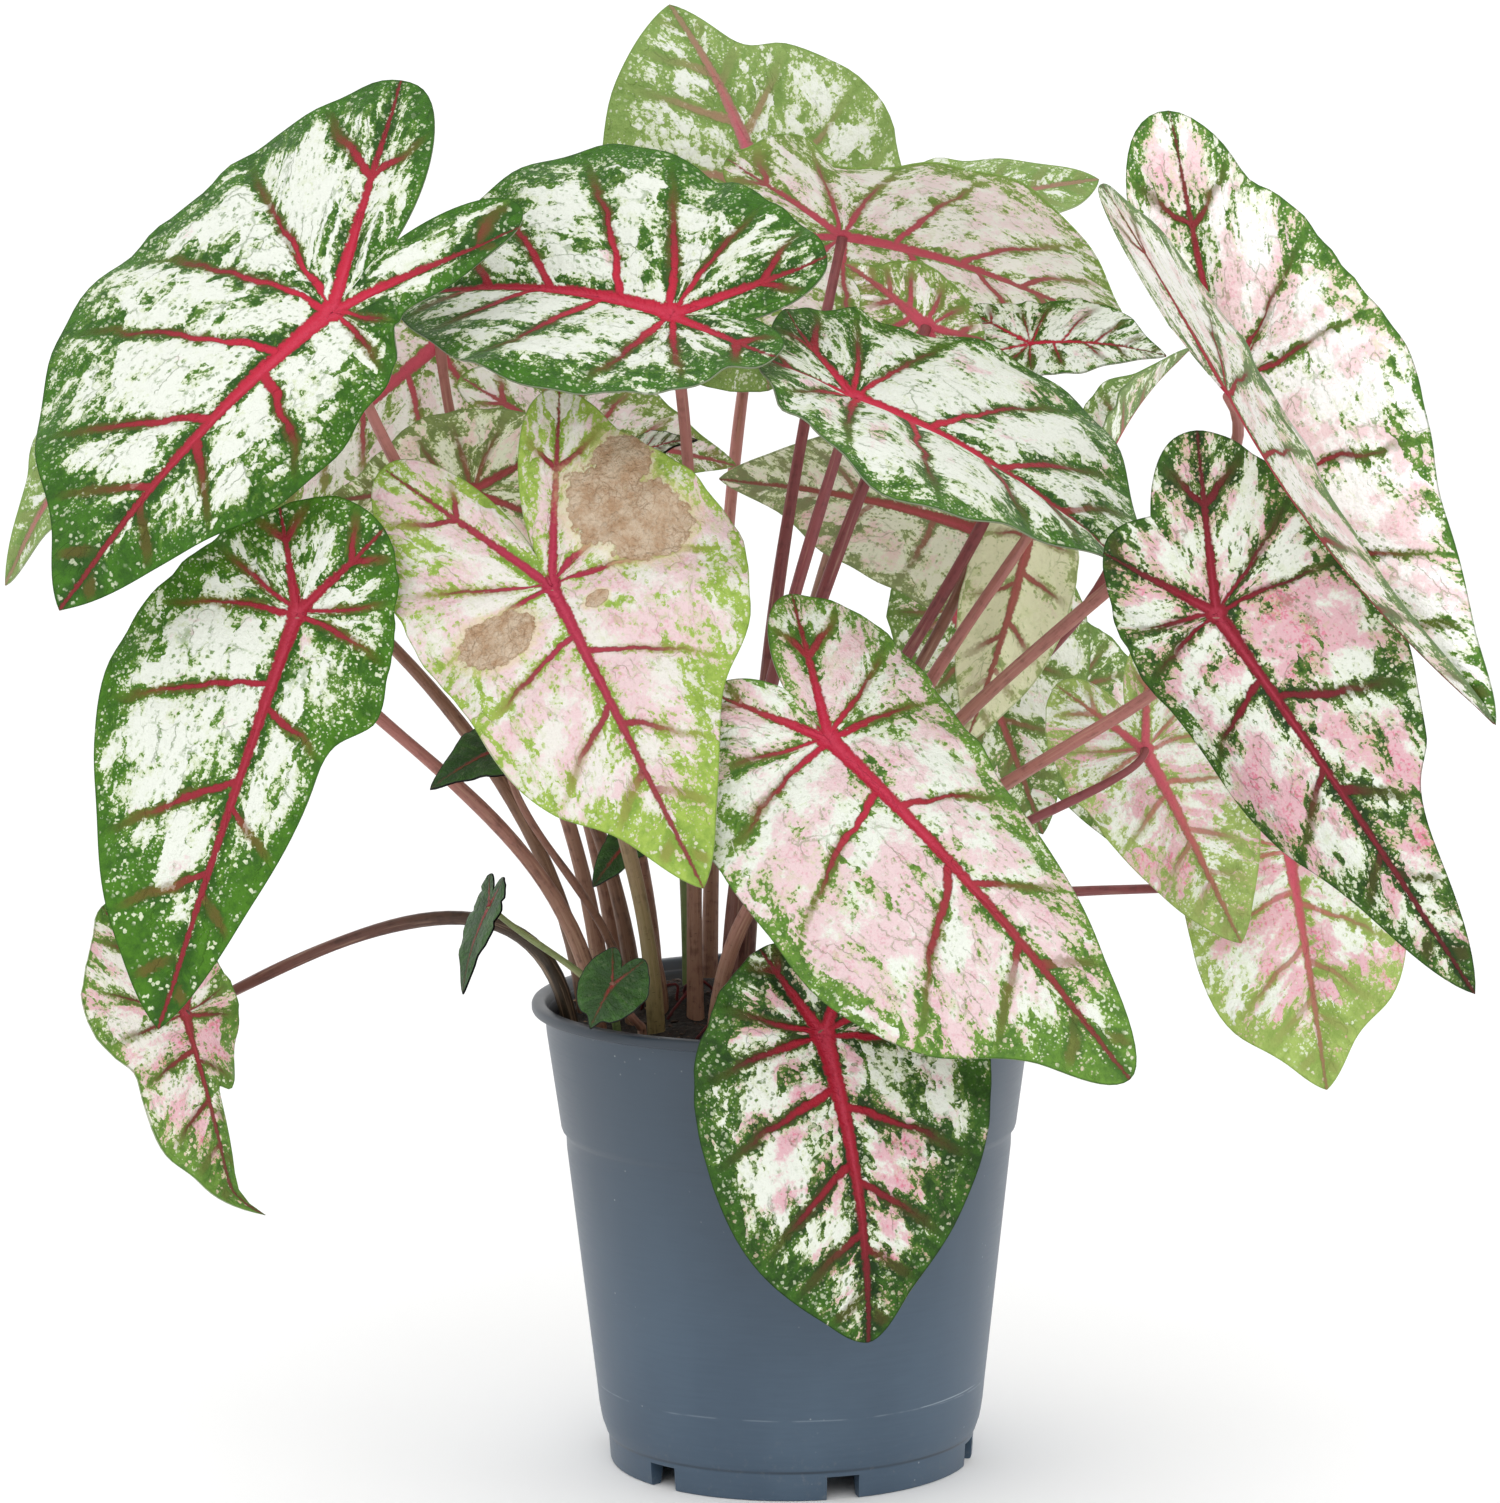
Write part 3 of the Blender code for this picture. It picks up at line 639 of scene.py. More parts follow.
PARCHMENT = LeafFinish(
    "parchment", lit(170, 184, 116), lit(128, 150, 80), lit(236, 238, 198), lit(232, 226, 194),
    lit(230, 212, 190), lit(164, 96, 84), lit(140, 92, 76), margin=1.0, halo=0.6, cover=1.4,
    pink=0.3, net=0.6, vein_width=0.8, wash=0.1, painted_glow=True,
)
YOUNG = LeafFinish(
    "young", lit(62, 108, 40), lit(34, 68, 26), lit(204, 214, 190), lit(204, 120, 120),
    lit(180, 70, 76), lit(158, 44, 50), lit(72, 76, 36), margin=40.0, halo=3.0, cover=-3.0,
    pink=0.0, fleck=0.08, net=0.0, vein_width=0.4, ribs=0.0, shine=0.14,
)
BUD = replace(YOUNG, name="bud", vein_width=0.24)


@dataclass(frozen=True)
class Leaf:
    """One leaf, in millimetres and degrees.

    joint is where the stalk meets the blade, face the azimuth and elevation that its upper side
    looks to, left and right the outline's radii at OUTLINE_ANGLES without the tip and the notch.
    blunt rounds the tip, from 0 to 1.

    fold is how steeply the left and the right half rise from the midrib and curl how far each
    bends back down over its width. lobe_fold is the fold behind the joint, where it differs. arch
    lifts the midrib's middle and sway moves it to the left, as shares of its length. hook moves
    the tip to the left. wave is the height, count and phase of the waves round the edge.

    foot is where the stalk stands in the soil, girth its radii at foot and blade before SLENDER
    scales them, come the direction in which it meets the blade, and reach how far its curve keeps
    to its first and its last direction, as shares of the way between its ends. A young leaf is one
    solid in the part.
    """

    name: str
    joint: tuple[float, float, float]
    tip: tuple[float, float, float]
    face: tuple[float, float]
    left: tuple[float, ...]
    right: tuple[float, ...]
    notch: float
    foot: tuple[float, float]
    finish: LeafFinish = FRESH
    tint: Tint = Tint.PINK
    fold: tuple[float, float] = (8, 8)
    curl: tuple[float, float] = (20, 20)
    lobe_fold: Optional[tuple[float, float]] = None
    arch: float = 0.06
    sway: float = 0.0
    hook: float = 0.0
    wave: tuple[float, float, float] = (0.0, 5, 0)
    girth: tuple[float, float] = (3.0, 1.6)
    come: Optional[tuple[float, float, float]] = None
    reach: tuple[float, float] = (0.45, 0.30)
    blunt: float = 0.35
    young: bool = False

    @property
    def length(self) -> float:
        """The midrib's length."""
        return float(np.linalg.norm(np.subtract(self.tip, self.joint)))

    @property
    def detail(self) -> Detail:
        """The fineness that suits the blade's size."""
        if self.length > LARGE_BLADE:
            return Detail.LARGE
        return Detail.SMALL if self.young else Detail.MIDDLE

    @property
    def seed(self) -> float:
        """A number that sets the leaf's pattern apart from the others'."""
        return sum(ord(letter) * (i + 3) for i, letter in enumerate(self.name)) % 997 * 1.7

    def axes(self) -> tuple[np.ndarray, np.ndarray, np.ndarray]:
        """Returns the directions along the midrib, to the left half, and out of the upper face."""
        azimuth, elevation = np.radians(self.face)
        face = np.array([
            math.sin(azimuth) * math.cos(elevation),
            -math.cos(azimuth) * math.cos(elevation),
            math.sin(elevation),
        ])
        along = unit(np.subtract(self.tip, self.joint))
        normal = unit(face - (face @ along) * along)
        return along, np.cross(normal, along), normal

    def outline(self, angle: np.ndarray) -> np.ndarray:
        """Returns the outline's radius about the joint.

        Args:
            angle: Degrees from the midrib, positive to the left.

        Returns:
            The radii.
        """
        knots = np.array(OUTLINE_ANGLES)
        x = np.abs(angle)
        i = np.clip(np.searchsorted(knots, x, side="right") - 1, 0, len(knots) - 2)
        step = knots[i + 1] - knots[i]
        t = (x - knots[i]) / step
        sides = []
        for radii in (self.left, self.right):
            values = np.array((self.length,) + tuple(radii) + (self.notch,), float)
            slope = np.gradient(values, knots)
            slope[0] = (values[1] - values[0]) / (knots[1] - knots[0]) * (1 - self.blunt)
            slope[-1] = (values[-1] - values[-2]) / (knots[-1] - knots[-2])
            start = (1 + 2 * t) * (1 - t) ** 2 * values[i] + t * (1 - t) ** 2 * step * slope[i]
            end = t * t * (3 - 2 * t) * values[i + 1] + t * t * (t - 1) * step * slope[i + 1]
            sides.append(start + end)
        turn = np.radians(angle)
        ripple = np.sin(turn * 7 + self.seed) + 0.7 * np.sin(turn * 13 + 2 * self.seed)
        ripple = ripple + 0.5 * np.sin(turn * 29)
        rough = 1 + RIPPLE * ripple * np.sin(turn / 2) ** 2 * np.sin(turn) ** 2
        return np.where(angle >= 0, sides[0], sides[1]) * rough

    def section(self, u: np.ndarray, v: np.ndarray) -> tuple[np.ndarray, np.ndarray]:
        """Bends the distance v across the midrib into a distance out and a height."""
        left = v >= 0
        distance = np.abs(v)
        lobe_fold = self.lobe_fold or self.fold
        share = ease((u / self.length + 0.10) / 0.35)
        fold = [lobe_fold[i] + (self.fold[i] - lobe_fold[i]) * share for i in (0, 1)]
        fold = np.radians(np.where(left, fold[0], fold[1]))
        width = np.where(left, max(self.left[2:5]), max(self.right[2:5]))
        bend = -np.radians(np.where(left, self.curl[0], self.curl[1])) / width
        bend = np.where(np.abs(bend) < 1e-6, 1e-6, bend)
        out = (np.sin(fold + bend * distance) - np.sin(fold)) / bend
        height = (np.cos(fold) - np.cos(fold + bend * distance)) / bend
        return np.where(left, out, -out), height * distance / (distance + CREASE)

    def surface(self, u: np.ndarray, v: np.ndarray, lift: np.ndarray) -> np.ndarray:
        """Places points of the flat blade in space.

        Args:
            u: Distances along the midrib.
            v: Distances across it.
            lift: Extra heights over the blade's middle surface.

        Returns:
            The points, in millimetres.
        """
        along, across, normal = self.axes()
        forward = u / self.length
        y, z = self.section(u, v)
        ahead = np.clip(forward, 0, 1.2)
        z = z + self.arch * 4 * ahead * (1 - ahead) * self.length
        y = y + self.sway * 4 * ahead * (1 - ahead) * self.length
        y = y + self.hook * (np.clip(forward - 0.8, 0, 1) / 0.2) ** 2
        angle = np.degrees(np.arctan2(v, u))
        share = np.hypot(u, v) / np.maximum(self.outline(angle), 1e-6)
        size, count, phase = self.wave
        z = z + size * np.clip(share, 0, 1.3) ** 3 * np.sin(np.radians(count * angle + phase)) + lift
        return np.asarray(self.joint, float) + u[:, None] * along + y[:, None] * across + z[:, None] * normal

    def vein_phase(self, u: np.ndarray, v: np.ndarray) -> tuple[np.ndarray, np.ndarray]:
        """Tells where points of the flat blade lie among the side veins.

        Args:
            u: Distances along the midrib.
            v: Distances across it.

        Returns:
            A phase that is whole on each side vein, and the distance run from the vein's root.
        """
        length, lobe_length = self.length, max(self.left[5], self.right[5])
        aside = np.abs(v)
        w = aside / length
        root = np.zeros_like(w)
        for _ in range(20):
            turn = ease(root / 0.45)
            root = (root + u / length - w * (0.12 + 0.62 * turn) - w * w * (0.25 + 0.15 * turn)) / 2
        lobe = math.radians(LOBE_TURN)
        along = u * math.cos(lobe) + aside * math.sin(lobe)
        across = u * math.sin(lobe) - aside * math.cos(lobe)
        back = along - np.abs(across) * 1.1 - across ** 2 / lobe_length * 0.3
        shifted = root + np.where(v < 0, 0.06, 0.0) * ease(root / 0.2)
        ahead = np.interp(shifted, VEIN_ROOTS, range(len(VEIN_ROOTS)))
        behind = -1 - back / lobe_length / LOBE_VEIN_STEP
        first, second = np.maximum(-root * length, 0), np.maximum(-back, 0)
        between = -first / np.maximum(first + second, 1e-6)
        phase = np.where(root >= 0, ahead, np.where(back >= 0, behind, between))
        run = np.where(back >= 0, np.hypot(along - back, across), np.hypot(u, v))
        run = np.where(root >= 0, np.hypot(u - root * length, v), run)
        return phase, run

    def attributes(self, angle: np.ndarray, share: np.ndarray) -> dict[str, np.ndarray]:
        """Works out what the paint reads at points of the blade.

        Args:
            angle: The points' directions about the joint, in degrees.
            share: Their distances from it, as shares of the outline's radius.

        Returns:
            Vectors by the attribute's name, in millimetres.
        """
        share = np.maximum(share, 0.02)
        radius = self.outline(angle)
        turn = np.radians(angle)
        u, v = share * radius * np.cos(turn), share * radius * np.sin(turn)
        phase, run = self.vein_phase(u, v)
        step = 0.2
        slope_u = (self.vein_phase(u + step, v)[0] - phase) / step
        slope_v = (self.vein_phase(u, np.where(v < 0, v - step, v + step))[0] - phase) / step
        spread = 1 / np.maximum(np.hypot(slope_u, slope_v), 1 / WIDEST_SPREAD)
        slope = (self.outline(angle + 0.5) - self.outline(angle - 0.5)) / math.radians(1.0)
        slope = np.where(np.abs(angle) > 178.5, 0, slope)
        edge = (1 - share) * radius * radius / np.hypot(radius, slope)
        reach = np.hypot(u, v)
        lobe = math.radians(LOBE_TURN)
        along = u * math.cos(lobe) + np.abs(v) * math.sin(lobe)
        across = u * math.sin(lobe) - np.abs(v) * math.cos(lobe)
        lobe_gap = np.where(along > 0, across, np.where(across < 0, -reach, reach))
        mid_gap = np.where(u > 0, np.abs(v), reach)
        side = np.where(angle >= 0, 1.0, -1.0)
        return {
            "veins": np.stack([phase, spread, run * side], -1),
            "lines": np.stack([mid_gap, lobe_gap, edge], -1),
            "flat": np.stack([u, v, np.full_like(u, self.seed)], -1),
        }

    def relief(self, angle: np.ndarray, share: np.ndarray) -> np.ndarray:
        """Returns the blade's own relief: quilting between the veins, a sunk midrib, a restless edge."""
        values = self.attributes(angle, share)
        phase, spread, run = values["veins"].T
        mid_gap, lobe_gap, edge = values["lines"].T
        size = min(self.length / FULL_RELIEF_LENGTH, 1.0)
        gap = np.abs(phase - np.round(phase)) * spread
        quilt = QUILT * (1 - np.exp(-(gap / 4.5) ** 2)) * ease(edge / 12) * ease(np.abs(run) / 12)
        trunk = np.minimum(mid_gap, np.abs(lobe_gap))
        sunk = -MIDRIB_DEPTH * np.exp(-(trunk / 2.0) ** 2) * ease(edge / 8)
        turn = np.radians(angle)
        ripple = np.sin(9 * turn + self.seed) + 0.7 * np.sin(17 * turn + 2 * self.seed)
        near = ease(np.clip(share - 0.6, 0, 1) / 0.4)
        ripple = EDGE_WAVE * ripple * near * ease((170 - np.abs(angle)) / 30)
        return size * (quilt + sunk + ripple)

    def blade(self) -> bpy.types.Object:
        """Builds the blade from a grid of directions and rings, closed at the joint and the notch.

        Returns:
            The blade's object.
        """
        turns, rings = self.detail.value
        bm = bmesh.new()
        bm.loops.layers.uv.new("polar")
        bmesh.ops.create_grid(bm, x_segments=turns, y_segments=rings, size=1.0, calc_uvs=True)
        grid = np.array([(vert.co.x, vert.co.y) for vert in bm.verts])
        angle, share = self.polar((grid + 1) / 2)
        radius = share * self.outline(angle)
        turn = np.radians(angle)
        points = self.surface(radius * np.cos(turn), radius * np.sin(turn), self.relief(angle, share))
        for vert, point in zip(bm.verts, points * MM):
            vert.co = point
        bmesh.ops.remove_doubles(bm, verts=bm.verts, dist=2e-6)
        mesh = bpy.data.meshes.new(f"{self.name}_blade")
        bm.to_mesh(mesh)
        bm.free()
        uv = np.empty(len(mesh.loops) * 2, np.float32)
        mesh.uv_layers["polar"].uv.foreach_get("vector", uv)
        for name, vectors in self.attributes(*self.polar(uv.reshape(-1, 2).astype(float))).items():
            layer = mesh.attributes.new(name, "FLOAT_VECTOR", "CORNER")
            layer.data.foreach_set("vector", vectors.astype(np.float32).ravel())
        mesh.shade_smooth()
        obj = show(mesh, self.finish.material(Side.UPPER), self.finish.material(Side.LOWER))
        shell = obj.modifiers.new("thickness", "SOLIDIFY")
        shell.thickness = BLADE_THICKNESS * MM
        shell.offset = 0.0
        shell.material_offset = 1
        shell.material_offset_rim = 1
        return obj

    @staticmethod
    def polar(uv: np.ndarray) -> tuple[np.ndarray, np.ndarray]:
        """Turns grid coordinates into directions, closer together at tip and notch, and shares."""
        x = 1 - 2 * uv[:, 0]
        size = np.abs(x)
        angle = 180 * np.sign(x) * (size - 0.095 * np.sin(2 * math.pi * size))
        return angle, 1 - (1 - uv[:, 1]) ** 1.25

    def stalk_path(self, points: int) -> np.ndarray:
        """Returns points along the stalk, from under the soil to the blade."""
        _, _, normal = self.axes()
        come = unit(self.come) if self.come else unit(normal + np.array([0, 0, 0.6]))
        tilt = max(float(come @ normal), 0.3)
        end = np.asarray(self.joint, float)
        if not self.young:
            skirt = self.girth[1] * math.sqrt(max(0.0, 1 - float(come @ normal) ** 2)) / tilt
            end = end - normal * (CAD_BLADE_THICKNESS / 2 + 1.5 * GAP) - come * skirt
        start = np.array([self.foot[0], self.foot[1], SOIL_HEIGHT + 0.4 - STALK_DEPTH])
        span = float(np.linalg.norm(end - start))
        rise = unit([(end[0] - start[0]) / span * 0.25, (end[1] - start[1]) / span * 0.25, 1])
        clear = start + rise * (STALK_DEPTH + 4)
        handles = [clear, start + rise * span * self.reach[0], end - come * span * self.reach[1], end]
        t = np.linspace(0, 1, points)[:, None]
        weights = [(1 - t) ** 3, 3 * t * (1 - t) ** 2, 3 * t * t * (1 - t), t ** 3]
        curve = sum(w * h for w, h in zip(weights, handles))
        foot = [start + rise * s for s in np.linspace(0, STALK_DEPTH + 2, 5)]
        top = np.asarray(self.joint, float) - normal * 1.0
        return np.vstack([foot, curve, top])

    def stalk(self) -> bpy.types.Object:
        """Builds the stalk, thickest at its foot and slightly swollen at the blade.

        Returns:
            The stalk's object.
        """
        path = self.stalk_path(34)
        share = np.linspace(0, 1, len(path))
        radii = SLENDER * (self.girth[0] + (self.girth[1] - self.girth[0]) * share ** 0.7)
        radii = radii * (1 + 0.05 * np.sin(share * 23 + self.seed)) * np.where(share > 0.97, 1.12, 1.0)
        mesh = tube(f"{self.name}_stalk", path, radii, 14, self.seed)
        return show(mesh, stalk_material(self.tint))


def show(mesh: bpy.types.Mesh, *materials: bpy.types.Material) -> bpy.types.Object:
    """Makes an object of a mesh in the scene.

    Args:
        mesh: The mesh.
        materials: Its materials, in the order of its slots.

    Returns:
        The object.
    """
    for material in materials:
        mesh.materials.append(material)
    obj = bpy.data.objects.new(mesh.name, mesh)
    bpy.context.scene.collection.objects.link(obj)
    return obj


def tube(name: str, path: np.ndarray, radii: np.ndarray, sides: int, seed: float = 0.0) -> bpy.types.Mesh:
    """Extrudes a circle along a path.

    Args:
        name: The mesh's name.
        path: Points in millimetres.
        radii: The tube's radius at each point.
        sides: The number of sides.
        seed: A number for the pattern.

    Returns:
        The mesh, closed at both ends. Its attribute grain holds each point's place round and
        along the tube, and its attribute height the share of the way along.
    """
    tangents = np.gradient(path, axis=0)
    tangents /= np.maximum(np.linalg.norm(tangents, axis=1), 1e-9)[:, None]
    lengths = np.append(0.0, np.cumsum(np.linalg.norm(np.diff(path, axis=0), axis=1)))
    bm = bmesh.new()
    grain = bm.verts.layers.float_vector.new("grain")
    height = bm.verts.layers.float.new("height")
    side = unit(np.cross([0, -1, 0.01], tangents[0]))
    ring = bmesh.ops.create_circle(bm, segments=sides, radius=1.0)["verts"]
    turns = [math.atan2(vert.co.y, vert.co.x) for vert in ring]
    first = ring
    for i, (centre, tangent) in enumerate(zip(path, tangents)):
        if i:
            edges = [bm.edges.get((ring[j], ring[j - 1])) for j in range(sides)]
            grown = bmesh.ops.extrude_edge_only(bm, edges=edges)["geom"]
            new = [item for item in grown if isinstance(item, bmesh.types.BMVert)]
            fresh = set(new)
            ring = [next(edge.other_vert(vert) for edge in vert.link_edges if edge.other_vert(vert) in fresh)
                    for vert in ring]
        side = unit(side - (side @ tangent) * tangent)
        other = np.cross(tangent, side)
        for vert, turn in zip(ring, turns):
            out = math.cos(turn) * side + math.sin(turn) * other
            vert.co = (centre + radii[i] * out) * MM
            vert[grain] = (radii[i] * math.cos(turn), radii[i] * math.sin(turn) + seed, lengths[i])
            vert[height] = lengths[i] / lengths[-1]
    for end in (first, ring):
        bmesh.ops.contextual_create(bm, geom=end)
    bmesh.ops.recalc_face_normals(bm, faces=bm.faces)
    mesh = bpy.data.meshes.new(name)
    bm.to_mesh(mesh)
    bm.free()
    mesh.shade_smooth()
    return mesh


def lathe(name: str, profile: Sequence[tuple[float, float]], steps: int) -> bpy.types.Mesh:
    """Spins a profile about Z.

    Args:
        name: The mesh's name.
        profile: Radii and heights in millimetres, from axis to axis.
        steps: The number of sides.

    Returns:
        The closed mesh.
    """
    bm = bmesh.new()
    verts = [bm.verts.new((radius * MM, 0, height * MM)) for radius, height in profile]
    edges = [bm.edges.new(pair) for pair in zip(verts, verts[1:])]
    bmesh.ops.spin(
        bm, geom=verts + edges, cent=(0, 0, 0), axis=(0, 0, 1), angle=2 * math.pi, steps=steps,
        use_merge=True,
    )
    bmesh.ops.remove_doubles(bm, verts=bm.verts, dist=1e-6)
    bmesh.ops.recalc_face_normals(bm, faces=bm.faces)
    mesh = bpy.data.meshes.new(name)
    bm.to_mesh(mesh)
    bm.free()
    return mesh


def stalk_material(tint: Tint) -> bpy.types.Material:
    """Builds a stalk's finish once: darker and mottled at the foot, satin, with fine ribs.

    Args:
        tint: The stalk's colours.

    Returns:
        The material.
    """
    name = f"stalk_{tint.name.lower()}"
    if name in bpy.data.materials:
        return bpy.data.materials[name]
    foot, top, streak = tint.value
    g = Graph(name)
    grain = g.attribute("grain")
    height = g.add("ShaderNodeAttribute", {"attribute_name": "height"}, {}, "Fac")
    ribs = g.cloud(g.stretch(grain, (1.0, 1.0, 0.05)), 0.9, 2.0)
    mottle = g.cloud(g.stretch(grain, (1.0, 1.0, 0.35)), 1.6, 4.0, 0.65)
    bands = g.cloud(g.stretch(grain, (0.4, 0.4, 1.0)), 2.2, 3.0)
    body = g.mix((height + mottle * 0.3).step(0.15, 0.75), foot, top)
    marks = (mottle + bands * 0.6 + ribs * 0.6).step(-0.02, 0.3) * (1.0 - height * 0.6)
    body = g.mix(marks * 0.8, body, streak)
    body = g.mix(ribs.step(-0.03, -0.3) * 0.35, body, lit(222, 190, 160))
    ticks = g.cells(g.stretch(grain, (0.5, 0.5, 1.6)), 1.7).step(0.16, 0.06) * (1.0 - height)
    body = g.mix(ticks * 0.6, body, lit(54, 36, 28))
    gloss = mottle * 0.3 + 0.45
    relief = ribs + mottle * 0.5
    return g.dress(Base_Color=body, Roughness=gloss, Normal=g.bump(relief, 0.35), Specular_IOR_Level=0.35)


@dataclass(frozen=True)
class Pot:
    """The thin-walled nursery pot, in millimetres.

    notch_size is a drainage notch's width and height, drain the drain holes' distance from the
    axis and their radius. wall_radius is about the mean one, for marks laid round the wall.
    lining is a cone within the wall above the shoulder, as its radius at height 0 and what that
    grows by with each millimetre: the soil stains what is nearer the axis.
    """

    rim_radius: float = 70.0
    height: float = 128.6
    wall: float = 1.2
    foot_radius: float = 50.0
    foot_height: float = 7.8
    shoulder: float = 92.5
    floor: float = 8.4
    pad: float = 14.0
    notches: int = 6
    notch_turn: float = 16.0
    notch_size: tuple[float, float] = (9.0, 6.5)
    drain: tuple[float, float] = (34.0, 4.0)
    mould_line: float = 23.0
    wall_radius: float = 60.0
    lining: tuple[float, float] = (48.8, 0.138)

    def outside(self) -> list[tuple[float, float]]:
        """Returns the section from the middle of the underside up to the rim's inner edge."""
        rim, foot, top = self.rim_radius, self.foot_radius, self.height
        under = top - 3.0
        ceiling = self.floor - self.wall
        return [
            (0, 0), (self.pad - 0.3, 0), (self.pad + 0.6, 0.6), (self.pad + 1.2, ceiling - 0.5),
            (self.pad + 2.0, ceiling), (foot - 5.4, ceiling), (foot - 4.7, ceiling - 0.6),
            (foot - 3.5, 0.5), (foot - 3.1, 0), (foot - 0.7, 0), (foot - 0.2, 0.2), (foot, 0.7),
            (foot + 0.4, self.foot_height - 0.7), (foot + 0.5, self.foot_height),
            (foot + 1.0, self.foot_height + 0.6), (foot + 1.4, self.foot_height + 1.8),
            (foot + 2.1, self.foot_height + 3.8), (foot + 2.5, self.foot_height + 5.8),
            (foot + 3.0, self.foot_height + 9.0), (foot + 3.4, self.foot_height + 13.0),
            (rim - 9.1, self.shoulder - 5.0), (rim - 9.0, self.shoulder - 1.6),
            (rim - 8.7, self.shoulder - 0.8), (rim - 7.9, self.shoulder + 0.3),
            (rim - 7.6, self.shoulder + 1.2), (rim - 4.0, under - 6.0), (rim - 3.6, under - 1.2),
            (rim - 3.3, under - 0.4), (rim - 2.6, under), (rim - 0.8, under), (rim - 0.25, under + 0.25),
            (rim, under + 0.8), (rim, top - 1.0), (rim - 0.3, top - 0.35), (rim - 0.9, top),
            (rim - 2.8, top), (rim - 3.4, top - 0.3), (rim - 3.9, top - 1.0),
        ]

    def inside(self) -> list[tuple[float, float]]:
        """Returns the section from under the rim down to the floor's sunk middle."""
        rim, foot = self.rim_radius, self.foot_radius
        return [
            (rim - 4.8, self.height - 4.5), (rim - 8.8, self.shoulder + 2.4),
            (rim - 9.8, self.shoulder - 1.6), (foot + 2.2, self.foot_height + 13.2),
            (foot + 1.1, self.foot_height + 5.8), (foot - 0.6, self.foot_height + 2.2),
            (foot - 1.8, self.floor), (self.pad - 0.2, self.floor), (self.pad - 1.4, 2 * self.wall),
        ]

    def build(self) -> bpy.types.Object:
        """Spins the pot, cuts its drainage notches and holes, and dresses it.

        Returns:
            The pot's object.
        """
        pot = show(lathe("nursery_pot", self.outside() + self.inside() + [(0, 2 * self.wall)], 144))
        cutters = bmesh.new()
        for i in range(self.notches):
            turn = math.radians(self.notch_turn + i * 360 / self.notches - 90)
            width, height = self.notch_size
            centre = Vector((self.foot_radius - 2, 0, (height - 2) / 2)) * MM
            place = Matrix.Rotation(turn, 4, "Z") @ Matrix.Translation(centre)
            scale = Matrix.Diagonal((12 * MM, width * MM, (height + 2) * MM, 1))
            bmesh.ops.create_cube(cutters, size=1.0, matrix=place @ scale)
            turn += math.pi / self.notches
            radius, size = self.drain
            centre = Vector((radius, 0, self.floor - 0.5)) * MM
            place = Matrix.Rotation(turn, 4, "Z") @ Matrix.Translation(centre)
            bmesh.ops.create_cone(
                cutters, cap_ends=True, segments=24, radius1=size * MM, radius2=size * MM,
                depth=4 * MM, matrix=place,
            )
        tool = bpy.data.meshes.new("drainage")
        cutters.to_mesh(tool)
        cutters.free()
        carve(pot, show(tool))
        pot.data.shade_smooth()
        pot.data.set_sharp_from_angle(angle=math.radians(40))
        pot.data.materials.append(self.material())
        return pot

    def material(self) -> bpy.types.Material:
        """Returns the slate plastic: moulding line, a scratch, scuffs, dust and soil stains inside, with
        painted shade towards the top and in the groove above the foot, a painted dark reflection on the rim
        and a painted highlight at the flange's lower edge.
        """
        g = Graph("slate_plastic")
        place = g.place()
        x, y, z = g.split(place)
        around = g.add("ShaderNodeMath", {"operation": "ARCTAN2"}, {0: y, 1: x}) * self.wall_radius
        cloud = g.cloud(g.stretch(place, (1.0, 1.0, 0.5)), 30.0, 3.0)
        scuff = g.cloud(g.join(around * 0.08, z, 0.0), 0.9, 3.0, 0.6)
        tone = g.mix((cloud + scuff * 0.5).step(-0.35, 0.35), lit(66, 86, 106), lit(77, 98, 118))
        # Painted shade: the wall darkens towards the top, where the leaves shade the pot
        tone = g.mix(z.step(18.0, 122.0) * 0.55, tone, lit(52, 62, 72))
        line = (z - self.mould_line + g.cloud(place, 25.0) * 0.8).math("ABSOLUTE").step(0.3, 0.08)
        line = line * g.cloud(g.join(around, 0.0, 3.0), 9.0, 3.0).step(-0.1, 0.12) * 0.2
        scratch = (z - self.mould_line - 0.3 - (x - 38.0) * 0.05).math("ABSOLUTE").step(0.26, 0.06)
        scratch = scratch * x.step(34.0, 36.0) * x.step(51.0, 48.0) * y.step(0.0, -1.0)
        line = line.most(scratch * (scuff + 0.5))
        tone = g.mix(line, tone, lit(178, 192, 202))
        # Painted shade in the groove above the foot ring, patchy along it
        groove_shade = (z - self.foot_height - 0.2).math("ABSOLUTE").step(0.6, 0.2) * (cloud + 0.45)
        tone = g.mix(groove_shade, tone, lit(30, 34, 40))
        # Painted highlight along the flange's lower edge
        flange_highlight = (z - self.height + 3.2).math("ABSOLUTE").step(0.35, 0.1) * (cloud + 0.3)
        # Painted reflection: the rim's top is darkened, as a dark reflection on its satin top
        tone = g.mix(z.step(self.height - 3.4, self.height - 2.6) * 0.6, tone, lit(34, 42, 52))
        tone = g.mix(flange_highlight, tone, lit(170, 184, 196))
        dust = g.cells(place, 3.4).step(0.11, 0.04) * g.cloud(place, 16.0, 2.0).step(0.06, 0.2)
        tone = g.mix(dust * 0.6, tone, lit(196, 204, 206))
        low = z.step(26.0, 4.0) * g.cloud(place, 2.2, 4.0, 0.7).step(0.05, 0.3)
        tone = g.mix(low * 0.28, tone, lit(150, 150, 146))
        start, slope = self.lining
        inner = ((x * x + y * y).math("SQRT") - z * slope - start).step(0.3, -0.1) * z.step(98.0, 100.0)
        peat = inner * z.step(self.height - 0.5, self.height - 5.5) * (cloud * 0.8 + scuff + 0.8)
        tone = g.mix(peat, tone, lit(44, 38, 34))
        gloss = 0.4 + scuff * 0.12 + low * 0.2
        relief = scuff * 0.25 + line + cloud * 0.4
        return g.dress(Base_Color=tone, Roughness=gloss, Normal=g.bump(relief, 0.12))


